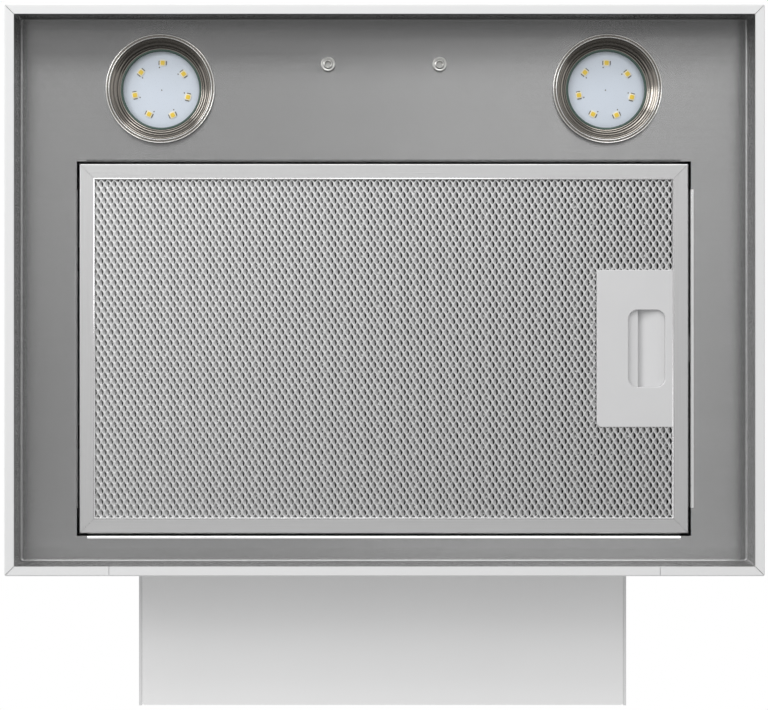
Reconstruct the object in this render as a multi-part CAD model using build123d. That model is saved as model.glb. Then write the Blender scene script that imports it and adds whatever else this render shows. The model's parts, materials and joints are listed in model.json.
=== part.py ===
"""Chimney range hood, 50 cm wide, as an assembly of separate pieces. Sizes are millimetres.

Seen from the front, +X is right, +Y is towards the wall and +Z is up. The wall plane is Y = 0.
The pieces are drawn with Z = 0 at the rim of the canopy, and written with Z = 0 at the
height of the two wall holes, so the origin is the middle of the wall hole pattern.
"""

import os
from math import cos, radians, sin

from build123d import *

os.makedirs("parts", exist_ok=True)

# Canopy
canopy_width = 500.0
canopy_depth = 376.0
canopy_height = 70.0
front_to_wall = 478.7
shell_t = 1.0
rim_width = 6.3
shell_corner_r = 1.5
rim_fold_r = 1.0
seam_gap = 0.3
rear_plate_width = 362.5
seam_lap = 12.0
top_flange = 12.0
lap_from_top = 14.0

# Underside panel
recess_depth = 22.0
panel_t = 0.8
panel_inset = 0.3
panel_corner_r = 3.0
panel_bend_r = 1.5
cutout_from_side = 44.2
cutout_from_front = 102.0
cutout_from_rear = 23.2
edge_fold = 6.0
edge_bend_r = 2.2
notch_x = 6.6
notch_y = 18.4
notch_relief = 0.4

# Lamps
lamp_from_side = 100.0
lamp_from_front = 53.0
lamp_hole_r = 33.8
ring_r = 36.7
ring_drop = 1.8
ring_roll = 2.2
ring_bevel = 0.6
ring_groove = 0.5
ring_step = 0.8
ring_lip_width = 1.2
ring_wall_r = 33.5
ring_seat_r = 30.8
ring_opening_r = 26.4
ring_lip_height = 3.6
ring_seat_height = 4.4
ring_height = 10.0
lens_t = 2.0
lens_gap = 0.4
board_r = 25.2
board_t = 1.2
chip_count = 7
chip_ring_r = 18.4
chip_start = -88.0
chip_length = 3.8
chip_width = 3.2
chip_t = 0.5
chip_air = 0.3
housing_flange_t = 1.5
heat_sink_r = 26.0
heat_sink_height = 14.0
fin_count = 10
fin_slot = 4.0
fin_slot_depth = 9.0
clip_width = 10.0
clip_reach = 8.5
clip_t = 0.6
clip_rise = 7.0
clip_toe = 2.0
housing_play = 0.3

# Controls
rivet_x = 37.5
rivet_from_front = 36.5
rivet_head_r = 4.8
rivet_head_t = 1.4
rivet_head_slope = 1.8
rivet_shank_r = 2.4
rivet_bore_r = 1.6
rivet_tail_r = 3.4
rivet_tail_t = 2.5
rivet_tail_slope = 0.6
rivet_hole_gap = 0.05
button_count = 5
button_pitch = 16.5
button_width = 12.0
button_height = 8.0
button_proud = 2.8
button_corner_r = 2.0
button_bevel = 0.6
button_travel = 2.5
button_gap = 0.25
button_stem = 5.0
button_length = 20.2
button_head = 7.0
button_z = 36.0
bezel_t = 1.5
bezel_bevel = 0.6
bezel_corner_r = 3.0
bezel_plug_r = 0.5
bezel_margin = 4.5
bezel_wall = 2.6
bezel_fit = 0.3
control_wall = 2.0
control_depth = 24.0
control_gap = 1.2
foot_t = 3.2
foot_width = 92.0
foot_margin = 6.0
guide_y = 12.0
guide_t = 2.0
switch_board_t = 1.6
dome_r = 3.0
dome_taper = 12.0
dome_air = 0.3
board_margin = 1.0
web_t = 3.0
web_inset = 4.0
web_from_front = 6.0

# Grease filter
filter_gap = 1.3
frame_height = 9.0
frame_bar = 10.4
frame_t = 0.8
frame_fold_r = 0.9
mitre_gap = 0.2
mesh_sheet_t = 1.0
mesh_edge_gap = 0.5
mesh_fit = 0.05
core_pitch = 12.0
core_sheet_t = 1.0
tab_width = 16.0
tab_spread = 60.0
tab_reach = 4.3
tab_height = 2.0
tab_t = 0.8
catch_gap = 0.3

# Filter handle
handle_width = 51.0
handle_length = 105.6
handle_plate_t = 2.0
handle_wall = 2.0
handle_corner_r = 3.0
handle_edge = 0.4
rail_t = 1.5
handle_back_t = 1.0
slot_width = 24.9
slot_length = 52.0
slot_r = 6.4
slot_from_edge = 5.0
slider_gap = 0.2
slider_strip = 6.7
slider_lap = 6.0
scoop_depth = 4.0
scoop_run = 14.5
scoop_play = 0.5
tongue_width = 18.0
tongue_t = 1.5
tongue_overhang = 1.2
tongue_fit = 0.25

# Chimney
chimney_width = 340.5
chimney_depth = 280.0
chimney_t = 1.0
chimney_fold_r = 2.0
chimney_top = 470.0
chimney_flange = 14.0
chimney_screw_front = 40.0
chimney_screw_rear = 20.0
cover_drop = 6.0
cover_t = 1.0
cover_flange = 8.0
cover_gap = 0.3
cover_box_gap = 1.0
hem_t = 2.0
hem_height = 10.0
foot_flange = 10.0
telescope_gap = 0.6
upper_bottom = 120.0
upper_top = 520.0
stop_width = 10.0
stop_reach = 13.0
stop_gap = 0.3
stop_lap = 1.0
vent_count = 5
vent_length = 90.0
vent_height = 3.6
vent_pitch = 8.0
vent_from_top = 12.0
bracket_height = 24.0
bracket_t = 1.2
bracket_from_top = 34.0
bracket_ear = 36.0
bracket_hole_r = 3.0
bracket_hole_x = 75.0
bracket_side_gap = 1.0
bracket_ear_gap = 0.4

# Blower box
box_front_gap = 10.0
foot_gap = 2.25
box_top = 310.0
box_t = 1.2
box_foot = 12.0
box_screw_inset = 30.0
air_opening_margin = 5.0
air_opening_r = 6.0
wall_hole_x = 100.0
wall_hole_z = 280.0
wall_hole_r = 4.0

# Scroll housing and impeller
scroll_y = -160.0
scroll_z = 180.0
scroll_start_r = 80.0
scroll_end_r = 110.0
scroll_start_angle = 95.0
scroll_arcs = 5
scroll_half = 62.0
scroll_t = 2.0
scroll_split = 0.15
neck_flange = 8.0
neck_flange_t = 2.0
inlet_r = 58.0
inlet_lip = 6.0
lug_size = 10.0
lug_t = 6.0
lug_screw_r = 1.8
impeller_r = 75.0
blade_depth = 12.0
blade_count = 32
blade_t = 1.2
blade_tilt = 35.0
impeller_half = 50.0
ring_t = 2.0
disc_t = 2.0
hub_r = 12.0
hub_back = 6.0
hub_front = 10.0
nut_across = 13.0
nut_t = 5.0

# Motor
motor_r = 42.0
motor_back = -66.0
motor_face = -12.0
motor_t = 2.0
stator_bore_r = 26.0
stator_from_end = 10.0
stator_slots = 12
air_gap = 0.3
shaft_r = 4.0
shaft_fit = 0.05
shaft_tail = 4.0
bearing_r = 9.0
bearing_length = 6.0
seat_t = 3.0
shaft_room = 1.0
slot_half = 2.0
slot_inset = 2.0
slot_from_rim = 4.0
slot_mouth_half = 0.8
bracket_plate_t = 2.0
bracket_hub_r = 30.0
arm_width = 14.0
arm_r = 68.0
arm_count = 3
bush_r = 6.0
shaft_end_bevel = 0.6
shaft_past_nut = 2.0
bracket_hub_play = 3.0
arm_root = 4.0

# Outlet
collar_r = 75.0
collar_t = 2.0
collar_height = 50.0
collar_base_x = 176.0
collar_base_y = 160.0
collar_base_t = 2.0
collar_corner_r = 8.0
collar_screw_inset = 7.0
pin_from_rim = 0.4
flap_axis_height = 20.0
flap_pin_r = 1.5
flap_fit = 0.06
flap_t = 1.2
flap_gap = 0.5
flap_inner = 3.5
flap_drop = 2.0
flap_seat_width = 4.0
flap_seat_t = 3.0
flap_seat_gap = 0.3
knuckle_r = 2.6
knuckle_length = 15.0
knuckle_x = 20.0
knuckle_gap = 1.0
knuckle_web = 1.0

# Electrical fittings
capacitor_r = 15.0
capacitor_length = 60.0
capacitor_bevel = 1.2
capacitor_x = 112.0
capacitor_z = 190.0
capacitor_from_wall = 1.0
clip_strap_t = 1.0
clip_strap_fit = 0.02
clip_strap_half = 6.0
clip_mouth_half = 9.0
clip_mouth_depth = 5.0
clip_foot_half = 12.0
terminal_width = 50.0
terminal_depth = 45.0
terminal_height = 34.0
terminal_t = 2.0
terminal_x = 93.0
terminal_from_wall = 14.0
terminal_corner_r = 3.0
stem_fit = 0.05
stem_wall = 2.0
cap_inset = 1.0
gland_r = 9.0
gland_bore_r = 4.0
gland_neck = 4.0
gland_height = 16.0
gland_bevel = 2.2

# Screws
screw_r = 1.9
screw_gap = 0.1
screw_head_r = 3.6
screw_head_t = 2.2
screw_hex = 6.4
screw_length = 7.0

# A cutter runs this far past the face that it cuts
past = 1.0

# Places worked out from the sizes above
front_y = -front_to_wall
rear_y = front_y + canopy_depth
half_w = canopy_width / 2
panel_top = recess_depth + panel_t
lamp_x = half_w - lamp_from_side
cover_height = canopy_height - cover_drop
cutout_width = canopy_width - 2 * cutout_from_side
cutout_depth = canopy_depth - cutout_from_front - cutout_from_rear
cut_front = front_y + cutout_from_front
cut_rear = cut_front + cutout_depth
cut_mid = (cut_front + cut_rear) / 2
filter_half_x = cutout_width / 2 - filter_gap
filter_half_y = cutout_depth / 2 - filter_gap
frame_low = recess_depth
frame_high = frame_low + frame_height
handle_x1 = filter_half_x - frame_bar
handle_x0 = handle_x1 - handle_width
slot_x1 = handle_x1 - slot_from_edge
slot_x0 = slot_x1 - slot_width
catch_z = recess_depth + edge_fold + catch_gap
neck_rear = scroll_y + scroll_end_r
neck_front = scroll_y + scroll_start_r * cos(radians(scroll_start_angle))
neck_mid = (neck_front + neck_rear) / 2
box_ceiling = box_top - box_t
chimney_half = chimney_width / 2
box_half = chimney_half - chimney_t - foot_flange - foot_gap - box_foot
box_front = -chimney_depth + box_front_gap
made = {}


def block(x0, x1, y0, y1, z0, z1):
    """A box between two corners."""
    centre = Pos((x0 + x1) / 2, (y0 + y1) / 2, (z0 + z1) / 2)
    return centre * Box(abs(x1 - x0), abs(y1 - y0), abs(z1 - z0))


def rounded_block(x0, x1, y0, y1, z0, z1, r):
    """A box whose upright edges are rounded."""
    body = block(x0, x1, y0, y1, z0, z1)
    return fillet(body.edges().filter_by(Axis.Z), r)


def rod(x, y, z0, z1, r):
    """An upright cylinder."""
    return Pos(x, y, (z0 + z1) / 2) * Cylinder(r, z1 - z0)


def cross_rod(x0, x1, y, z, r):
    """A cylinder along X."""
    return Pos((x0 + x1) / 2, y, z) * Rot(0, 90, 0) * Cylinder(r, x1 - x0)


def circles_of(body, r):
    """The body's round edges of one radius, in order along X."""
    rounds = body.edges().filter_by(GeomType.CIRCLE)
    return rounds.filter_by(lambda edge: abs(edge.radius - r) < 0.01).sort_by(Axis.X)


def spun(points, x, y):
    """A ring or disc: a profile of (radius, height) points turned about an upright axis."""
    profile = make_face(Polyline(*[(r, 0, z) for r, z in points], close=True))
    return Pos(x, y, 0) * revolve(profile, Axis.Z, 360)


def save(name, *solids):
    """Writes one node, moved so that the wall holes are at Z = 0."""
    moved = [Pos(0, 0, -wall_hole_z) * solid for solid in solids]
    node = Compound(children=moved) if len(moved) > 1 else moved[0]
    export_step(node, f"parts/{name}.step")
    made[name] = sum(solid.volume for solid in moved)


def screw(x, y, seat_z, length=screw_length, down=True):
    """A hexagon head screw, head on seat_z and shank below it, or above it when down is False."""
    side = -1 if down else 1
    hexagon = extrude(RegularPolygon(screw_hex / 2, 6, major_radius=False), screw_head_t, dir=(0, 0, -side))
    shank = rod(x, y, *sorted((seat_z, seat_z + side * length)), screw_r)
    return Pos(x, y, seat_z) * hexagon + shank


def rear_band(width, z0, z1):
    """The slice of the rear wall and rim that belongs to the rear plate."""
    return block(-width / 2, width / 2, rear_y - rim_width - past, rear_y + past, z0, z1)


def canopy_skin():
    """Walls and return rim of the canopy, with the rim mitred in its four corners."""
    skin = rounded_block(-half_w, half_w, front_y, rear_y, 0, canopy_height, shell_corner_r)
    skin = fillet(skin.faces().sort_by(Axis.Z)[0].edges(), rim_fold_r)
    inside = half_w - shell_t
    skin -= block(-inside, inside, front_y + shell_t, rear_y - shell_t, shell_t, canopy_height + past)
    opening = half_w - rim_width
    skin -= block(-opening, opening, front_y + rim_width, rear_y - rim_width, -past, shell_t + past)
    return skin


def canopy_shell():
    shell = canopy_skin() - rear_band(rear_plate_width, -past, canopy_height + past)
    slit_length = 1.5 * rim_width
    for sx in (-1, 1):
        for y, sy in ((front_y, 1), (rear_y, -1)):
            middle = rim_width * 0.62
            slit = Rot(0, 0, 45 if sx * sy < 0 else -45) * Box(slit_length, seam_gap, 2.2 * shell_t)
            shell -= Pos(sx * (half_w - middle), y + sy * middle, 0) * slit
    half_bezel = control_half_x() + bezel_fit
    z0, z1 = button_z - control_half_z() - bezel_fit, button_z + control_half_z() + bezel_fit
    shell -= block(-half_bezel, half_bezel, front_y - past, front_y + 2 * shell_t, z0, z1)
    return shell


def canopy_rear_plate():
    """The middle of the rear wall and rim, with two laps behind the seams."""
    width = rear_plate_width - 2 * seam_gap
    plate = canopy_skin() & rear_band(width, -past, canopy_height + past)
    for side in (-1, 1):
        x0, x1 = side * (width / 2 - seam_lap), side * (width / 2 + seam_lap)
        y1 = rear_y - shell_t
        plate += block(x0, x1, y1 - shell_t, y1, 2 * rim_width, canopy_height - lap_from_top)
    return plate


def canopy_top():
    """The lid of the canopy, with turned down edges and the air opening to the blower."""
    hx = half_w - shell_t
    y0, y1 = front_y + shell_t, rear_y - shell_t
    lid = block(-hx, hx, y0, y1, canopy_height - top_flange, canopy_height)
    t = shell_t
    lid -= block(-hx + t, hx - t, y0 + t, y1 - t, 0, canopy_height - t)
    hole_x = box_half - air_opening_margin
    hole_y0, hole_y1 = box_front + air_opening_margin, rear_y - box_foot
    lid -= rounded_block(-hole_x, hole_x, hole_y0, hole_y1, 0, canopy_height + past, air_opening_r)
    for x, y in box_screw_places() + chimney_screw_places():
        lid -= rod(x, y, 0, canopy_height + past, screw_r + screw_gap)
    return lid


def box_screw_places():
    x = box_half + box_foot / 2
    ys = (box_front + box_screw_inset, rear_y - box_screw_inset)
    return [(side * x, y) for side in (-1, 1) for y in ys]


def chimney_screw_places():
    x = chimney_half - chimney_t - foot_flange / 2
    ys = (-chimney_depth + chimney_screw_front, rear_y - chimney_screw_rear)
    return [(side * x, y) for side in (-1, 1) for y in ys]


def turned_edge(length):
    """One turned up edge of the cut-out, along X: the bend, then straight up. The cut-out is at Y = 0."""
    r, t, top = edge_bend_r, panel_t, edge_fold
    half_turn = cos(radians(45))

    def on_bend(radius, share):
        return (0, -r + radius * share, r - radius * share)

    section = Wire([
        ThreePointArc((0, -r, 0), on_bend(r, half_turn), (0, 0, r)),
        Line((0, 0, r), (0, 0, top)),
        Line((0, 0, top), (0, -t, top)),
        Line((0, -t, top), (0, -t, r)),
        ThreePointArc((0, -t, r), on_bend(r - t, half_turn), (0, -r, t)),
        Line((0, -r, t), (0, -r, 0)),
    ])
    return Pos(-length / 2, 0, recess_depth) * extrude(make_face(section), length, dir=(1, 0, 0))


def underside_panel():
    """A steel pan: the deck with its filter cut-out, and walls that come down to the rim."""
    hx = half_w - rim_width + panel_inset + panel_t
    y0 = front_y + rim_width - panel_inset - panel_t
    y1 = rear_y - rim_width + panel_inset + panel_t
    t = panel_t
    pan = rounded_block(-hx, hx, y0, y1, shell_t, panel_top, panel_corner_r)
    pan = fillet(pan.faces().sort_by(Axis.Z)[-1].edges(), panel_bend_r + t)
    hollow = rounded_block(-hx + t, hx - t, y0 + t, y1 - t, 0, recess_depth, panel_corner_r - t)
    pan -= fillet(hollow.faces().sort_by(Axis.Z)[-1].edges(), panel_bend_r)
    z0, z1 = recess_depth - past, panel_top + past
    cx, relief = cutout_width / 2, notch_relief
    pan -= block(-cx - relief, cx + relief, cut_front - relief, cut_rear + relief, z0, z1)
    long_edge, short_edge = cutout_width - 2 * notch_x, cutout_depth - 2 * notch_y
    for turn, x, y, length in (
        (0, 0, cut_front, long_edge), (180, 0, cut_rear, long_edge),
        (-90, -cx, cut_mid, short_edge), (90, cx, cut_mid, short_edge),
    ):
        there = Pos(x, y, 0) * Rot(0, 0, turn)
        pan -= there * block(-length / 2, length / 2, -edge_bend_r, 0, z0, z1)
        pan += there * turned_edge(length)
    for side in (-1, 1):
        pan -= rod(side * lamp_x, front_y + lamp_from_front, z0, z1, lamp_hole_r)
        pan -= rod(side * rivet_x, front_y + rivet_from_front, z0, z1, rivet_shank_r + rivet_hole_gap)
    return pan


def rivet(side):
    """A blind rivet: domed flange, hollow shank, and the tail that the pull swelled."""
    x, y = side * rivet_x, front_y + rivet_from_front
    low, seat = recess_depth - rivet_head_t, recess_depth
    top = panel_top + foot_t
    bore, shank = rivet_bore_r, rivet_shank_r
    tail_r, tail_top = rivet_tail_r, top + rivet_tail_t
    crown_r, brow = rivet_head_r - rivet_head_slope, low + rivet_head_t / 3
    brow_r = rivet_head_r - rivet_head_slope / 4
    head = [(bore, low), (crown_r, low), (brow_r, brow), (rivet_head_r, seat), (shank, seat)]
    tail = [(shank, top), (tail_r, top), (tail_r - rivet_tail_slope, tail_top), (bore, tail_top)]
    return spun(head + tail, x, y)


def lamp_places():
    return {"left": (-lamp_x, front_y + lamp_from_front), "right": (lamp_x, front_y + lamp_from_front)}


def lamp_ring(x, y):
    """The trim ring: a rolled edge under the panel, and a slope up to the lip that holds the glass."""
    z = recess_depth
    low = z - ring_drop
    groove = low + ring_groove
    lip, seat, top = z + ring_lip_height, z + ring_seat_height, z + ring_height
    flange = rod(x, y, low, z, ring_r)
    flange = chamfer(flange.edges().sort_by(Axis.Z)[0], ring_bevel)
    ring = flange + rod(x, y, z, top, ring_wall_r)
    ring -= rod(x, y, seat, top + past, ring_seat_r)
    ring -= rod(x, y, low - past, seat + past, ring_opening_r)
    ring -= rod(x, y, low - past, groove, ring_r - ring_roll)
    slope_r, lip_r = ring_r - ring_roll - ring_step, ring_opening_r + ring_lip_width
    return ring - Pos(x, y, (groove + lip) / 2) * Cone(slope_r, lip_r, lip - groove)


def lamp_lens(x, y):
    seat = recess_depth + ring_seat_height
    return rod(x, y, seat, seat + lens_t, ring_seat_r - lens_gap)


def board_low():
    return recess_depth + ring_seat_height + lens_t + chip_air + chip_t


def lamp_board(x, y):
    return rod(x, y, board_low(), board_low() + board_t, board_r)


def led_chips(x, y):
    chips = []
    for i in range(chip_count):
        angle = chip_start + i * 360 / chip_count
        chip = Box(chip_length, chip_width, chip_t)
        turned = Rot(0, 0, angle) * Pos(chip_ring_r, 0, 0) * Rot(0, 0, 90) * chip
        chips.append(Pos(x, y, board_low() - chip_t / 2) * turned)
    return chips


def lamp_housing(x, y):
    """The heat sink behind the board: a plug in the ring, a flange on its top and a finned drum."""
    plug_low, ring_top = board_low() + board_t, recess_depth + ring_height
    flange_top = ring_top + housing_flange_t
    sink = rod(x, y, plug_low, ring_top, ring_seat_r - lens_gap)
    sink += rod(x, y, ring_top, flange_top, ring_wall_r - housing_play)
    sink += rod(x, y, flange_top, flange_top + heat_sink_height, heat_sink_r)
    for i in range(fin_count):
        floor_r = heat_sink_r - fin_slot_depth
        slot = block(floor_r, heat_sink_r + past, -fin_slot / 2, fin_slot / 2, flange_top, canopy_height)
        sink -= Pos(x, y, 0) * Rot(0, 0, (i + 0.5) * 360 / fin_count) * slot
    return sink


def lamp_clips(x, y):
    """Two leaf springs on the ring that press on top of the panel."""
    r, low = ring_wall_r, panel_top
    top, end = low + clip_rise, r + clip_reach
    outline = Polyline(
        (r, 0, top), (r, 0, top - clip_toe), (end - clip_toe, 0, low), (end, 0, low),
        (end, 0, low + clip_t), (end - clip_toe + clip_t, 0, low + clip_t), (r + clip_t, 0, top), close=True,
    )
    leaf = extrude(make_face(outline), clip_width / 2, both=True, dir=(0, 1, 0))
    return [Pos(x, y, 0) * Rot(0, 0, turn) * leaf for turn in (0, 180)]


def control_half_x():
    return button_pitch * (button_count - 1) / 2 + button_width / 2 + bezel_wall


def control_half_z():
    return button_height / 2 + bezel_wall


def button_xs():
    return [button_pitch * (i - (button_count - 1) / 2) for i in range(button_count)]


def wide_block(hx, hz, y0, y1, r):
    """A block about the button row, with the edges that run along Y rounded."""
    body = block(-hx, hx, y0, y1, button_z - hz, button_z + hz)
    return fillet(body.edges().filter_by(Axis.Y), r)


def control_bezel():
    hx, hz = control_half_x(), control_half_z()
    face_x, face_z = hx + bezel_margin, hz + bezel_margin / 2
    face = wide_block(face_x, face_z, front_y - bezel_t, front_y, bezel_corner_r)
    face = chamfer(face.faces().sort_by(Axis.Y)[0].edges(), bezel_bevel)
    plug_end = front_y + shell_t + control_gap
    bezel = face + wide_block(hx, hz, front_y, plug_end, bezel_plug_r)
    hole_x, hole_z = button_width / 2 + button_gap, button_height / 2 + button_gap
    hole_y0, hole_y1 = front_y - bezel_t - past, plug_end + past
    for x in button_xs():
        hole = block(x - hole_x, x + hole_x, hole_y0, hole_y1, button_z - hole_z, button_z + hole_z)
        bezel -= fillet(hole.edges().filter_by(Axis.Y), button_corner_r + button_gap)
    return bezel


def button(x):
    """A push button: rounded cap, and a square stem that slides in the guide wall."""
    y0 = front_y - bezel_t - button_proud
    cap_x, cap_z = button_width / 2, button_height / 2
    cap = block(x - cap_x, x + cap_x, y0, y0 + button_head, button_z - cap_z, button_z + cap_z)
    cap = fillet(cap.edges().filter_by(Axis.Y), button_corner_r)
    cap = chamfer(cap.faces().sort_by(Axis.Y)[0].edges(), button_bevel)
    s = button_stem / 2
    return cap + block(x - s, x + s, y0 + button_head, y0 + button_length, button_z - s, button_z + s)


def control_housing():
    """An open fronted box behind the bezel, with a guide wall and a foot riveted to the panel."""
    hx, hz = control_half_x() + control_wall, control_half_z() + control_wall
    y0 = front_y + shell_t + control_gap
    y1 = y0 + control_depth
    w = control_wall
    low, high = button_z - hz, button_z + hz
    case = block(-hx, hx, y0, y1, low, high)
    case -= block(-hx + w, hx - w, y0 - past, y1 - w, low + w, high - w)
    guide_y0, guide_y1 = front_y + guide_y, front_y + guide_y + guide_t
    guide = block(-hx + w, hx - w, guide_y0, guide_y1, low + w, high - w)
    s = button_stem / 2 + button_gap
    for x in button_xs():
        guide -= block(x - s, x + s, guide_y0 - past, guide_y1 + past, button_z - s, button_z + s)
    case += guide
    foot_top = panel_top + foot_t
    foot_start = y0 + web_inset
    foot_end = front_y + rivet_from_front + foot_margin
    case += block(-foot_width / 2, foot_width / 2, foot_start, foot_end, panel_top, foot_top)
    web_x = hx - web_inset
    for web_y in (y0 + web_from_front, y1 - web_from_front + past):
        case += block(-web_x, web_x, web_y, web_y + web_t, foot_top, low)
    for side in (-1, 1):
        hole_r = rivet_shank_r + rivet_hole_gap
        case -= rod(side * rivet_x, front_y + rivet_from_front, 0, foot_top + past, hole_r)
    return case


def board_y():
    return front_y + shell_t + control_gap + control_depth - control_wall - switch_board_t


def switch_board():
    hx, hz = control_half_x() - board_margin, control_half_z() - board_margin
    return block(-hx, hx, board_y(), board_y() + switch_board_t, button_z - hz, button_z + hz)


def switch_domes():
    """Rubber domes on the board, eight sided. Each stem stops just short of its dome at full travel."""
    stem_end = front_y - bezel_t - button_proud + button_length
    height = board_y() - stem_end - button_travel - dome_air
    dome = Rot(90, 0, 0) * extrude(RegularPolygon(dome_r, 8), height, taper=dome_taper)
    return [Pos(x, board_y(), button_z) * dome for x in button_xs()]


def frame_bar_solid(length):
    """One length of the frame's channel, along X, outer wall at Y = 0, mitred at both ends."""
    b, h, t = frame_bar, frame_height, frame_t
    end = length / 2
    section = Polyline(
        (0, 0, 0), (0, b, 0), (0, b, t), (0, t, t), (0, t, h - t), (0, b, h - t), (0, b, h), (0, 0, h),
        close=True,
    )
    bar = Pos(-end, 0, 0) * extrude(make_face(section), length, dir=(1, 0, 0))
    bar = fillet(bar.edges().filter_by(Axis.X).sort_by(Axis.Y)[:2], frame_fold_r)
    cut = mitre_gap / 2
    for side in (-1, 1):
        wedge = Polyline(
            (side * (end - cut + past), -past, 0), (side * (end - cut - b - past), b + past, 0),
            (side * (end + past), b + past, 0), (side * (end + past), -past, 0), close=True,
        )
        bar -= Pos(0, 0, -past) * extrude(make_face(wedge), h + 2 * past, dir=(0, 0, 1))
    return bar


def filter_frame():
    """Four mitred lengths of channel that hold the mesh by its edges."""
    length, depth = 2 * filter_half_x, 2 * filter_half_y
    front = Pos(0, cut_mid - filter_half_y, frame_low) * frame_bar_solid(length)
    rear = Pos(0, cut_mid + filter_half_y, frame_low) * Rot(0, 0, 180) * frame_bar_solid(length)
    left = Pos(-filter_half_x, cut_mid, frame_low) * Rot(0, 0, -90) * frame_bar_solid(depth)
    right = Pos(filter_half_x, cut_mid, frame_low) * Rot(0, 0, 90) * frame_bar_solid(depth)
    right -= tongue_slot()
    return [front, rear, left, right]


def tongue_slot():
    s = tongue_width / 2 + tongue_fit
    z0, z1 = catch_z - tongue_fit, catch_z + tongue_t + tongue_fit
    return block(handle_x1 - 2 * handle_wall, filter_half_x + past, cut_mid - s, cut_mid + s, z0, z1)


def mesh_outline(z0, z1):
    """A mesh layer, cut away where the handle and its tongue pass."""
    hx, hy = filter_half_x - frame_t - mesh_edge_gap, filter_half_y - frame_t - mesh_edge_gap
    layer = block(-hx, hx, cut_mid - hy, cut_mid + hy, z0, z1)
    hy = handle_length / 2 + mesh_fit
    y0, y1 = cut_mid - hy, cut_mid + hy
    return layer - block(handle_x0 - mesh_fit, filter_half_x, y0, y1, z0 - past, z1 + past)


def mesh_core():
    """The grease trap between the two outer sheets: one pack of crimped mesh, its crests along Y."""
    low = frame_low + frame_t + mesh_sheet_t + mesh_fit
    high = frame_high - frame_t - mesh_sheet_t - mesh_fit
    hx = filter_half_x - frame_t - mesh_edge_gap
    waves = int(2 * hx // core_pitch)
    start = -waves * core_pitch / 2
    crest, flat = high - core_sheet_t, core_pitch / 6
    lower, upper = [], []
    for i in range(waves):
        x = start + i * core_pitch
        for dx, z in ((0, low), (flat, low), (core_pitch / 2, crest), (core_pitch / 2 + flat, crest)):
            lower.append((x + dx, 0, z))
            upper.append((x + dx, 0, z + core_sheet_t))
    upper.reverse()
    wave = make_face(Polyline(*lower, *upper, close=True))
    slab = extrude(wave, filter_half_y - frame_t - mesh_edge_gap, both=True, dir=(0, 1, 0))
    pack = Pos(0, cut_mid, 0) * slab
    hy = handle_length / 2 + mesh_fit
    pack -= block(handle_x0 - mesh_fit, filter_half_x, cut_mid - hy, cut_mid + hy, 0, canopy_height)
    return pack


def filter_tabs():
    """Two hooks on the left bar that lie over the panel's folded edge."""
    tabs = []
    for side in (-1, 1):
        y = cut_mid + side * tab_spread
        x = -filter_half_x
        top = catch_z + tab_t
        leg = block(x - tab_t, x, y - tab_width / 2, y + tab_width / 2, top - tab_height, top)
        tabs.append(leg + block(x - tab_reach, x, y - tab_width / 2, y + tab_width / 2, catch_z, top))
    return tabs


def handle_plate():
    """The moulded handle: a face flush with the frame, a finger slot, and walls around the slider."""
    hy = handle_length / 2
    back = frame_high - handle_back_t
    w = handle_wall
    body = block(handle_x0, handle_x1, cut_mid - hy, cut_mid + hy, frame_low, back)
    left_edges = body.edges().filter_by(Axis.Z).sort_by(Axis.X)[:2]
    body = fillet(left_edges, handle_corner_r)
    body = chamfer(body.faces().sort_by(Axis.Z)[0].edges(), handle_edge)
    floor = frame_low + handle_plate_t
    body -= block(handle_x0 + w, handle_x1 - w, cut_mid - hy + w, cut_mid + hy - w, floor, back + past)
    slot_y0, slot_y1 = cut_mid - slot_length / 2, cut_mid + slot_length / 2
    body -= rounded_block(slot_x0, slot_x1, slot_y0, slot_y1, frame_low - past, floor + past, slot_r)
    rim = body.faces().sort_by(Axis.Z)[0].inner_wires()[0].edges()
    body = chamfer(rim, handle_edge)
    rail = slot_length / 2 + slider_lap + slider_gap
    for side in (-1, 1):
        y0, y1 = cut_mid + side * rail, cut_mid + side * (rail + rail_t)
        body += block(handle_x0 + w, handle_x1 - w, y0, y1, floor, back)
    return body - tongue_slot()


def handle_back_plate():
    hy = handle_length / 2
    return block(handle_x0, handle_x1, cut_mid - hy, cut_mid + hy, frame_high - handle_back_t, frame_high)


def latch_slider():
    """The finger latch: a block with a scooped face, and a tongue over the panel's folded edge."""
    low = frame_low + handle_plate_t + slider_gap
    high = catch_z + tongue_t
    x0 = slot_x0 - slider_lap
    x1 = handle_x1 - handle_wall - slider_gap
    hy = slot_length / 2 + slider_lap
    body = block(x0, x1, cut_mid - hy, cut_mid + hy, low, high)
    step = slot_x0 + slider_strip
    end = step + scoop_run
    deep = low + scoop_depth
    belly = (step + scoop_run * 0.55, 0, low + scoop_depth * 0.3)
    scoop = make_face(
        Line((step, 0, low), (step, 0, deep))
        + ThreePointArc((step, 0, deep), belly, (end, 0, low))
        + Line((end, 0, low), (step, 0, low))
    )
    body -= Pos(0, cut_mid, 0) * extrude(scoop, slot_length / 2 + scoop_play, both=True, dir=(0, 1, 0))
    tip = cutout_width / 2 + panel_t + tongue_overhang
    s = tongue_width / 2
    return body + block(x1, tip, cut_mid - s, cut_mid + s, catch_z, high)


def chimney_wrap(half, front, z0, z1, rear_face, flange):
    """A folded sheet open at the back: front wall, two sides and two narrow rear flanges."""
    t = chimney_t
    wrap = block(-half, half, front, rear_face, z0, z1)
    front_edges = wrap.edges().filter_by(Axis.Z).sort_by(Axis.Y)[:2]
    wrap = fillet(front_edges, chimney_fold_r)
    wrap -= block(-half + t, half - t, front + t, rear_face - t, z0 - past, z1 + past)
    mouth = half - flange
    return wrap - block(-mouth, mouth, rear_face - 2 * t, rear_face + past, z0 - past, z1 + past)


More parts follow.
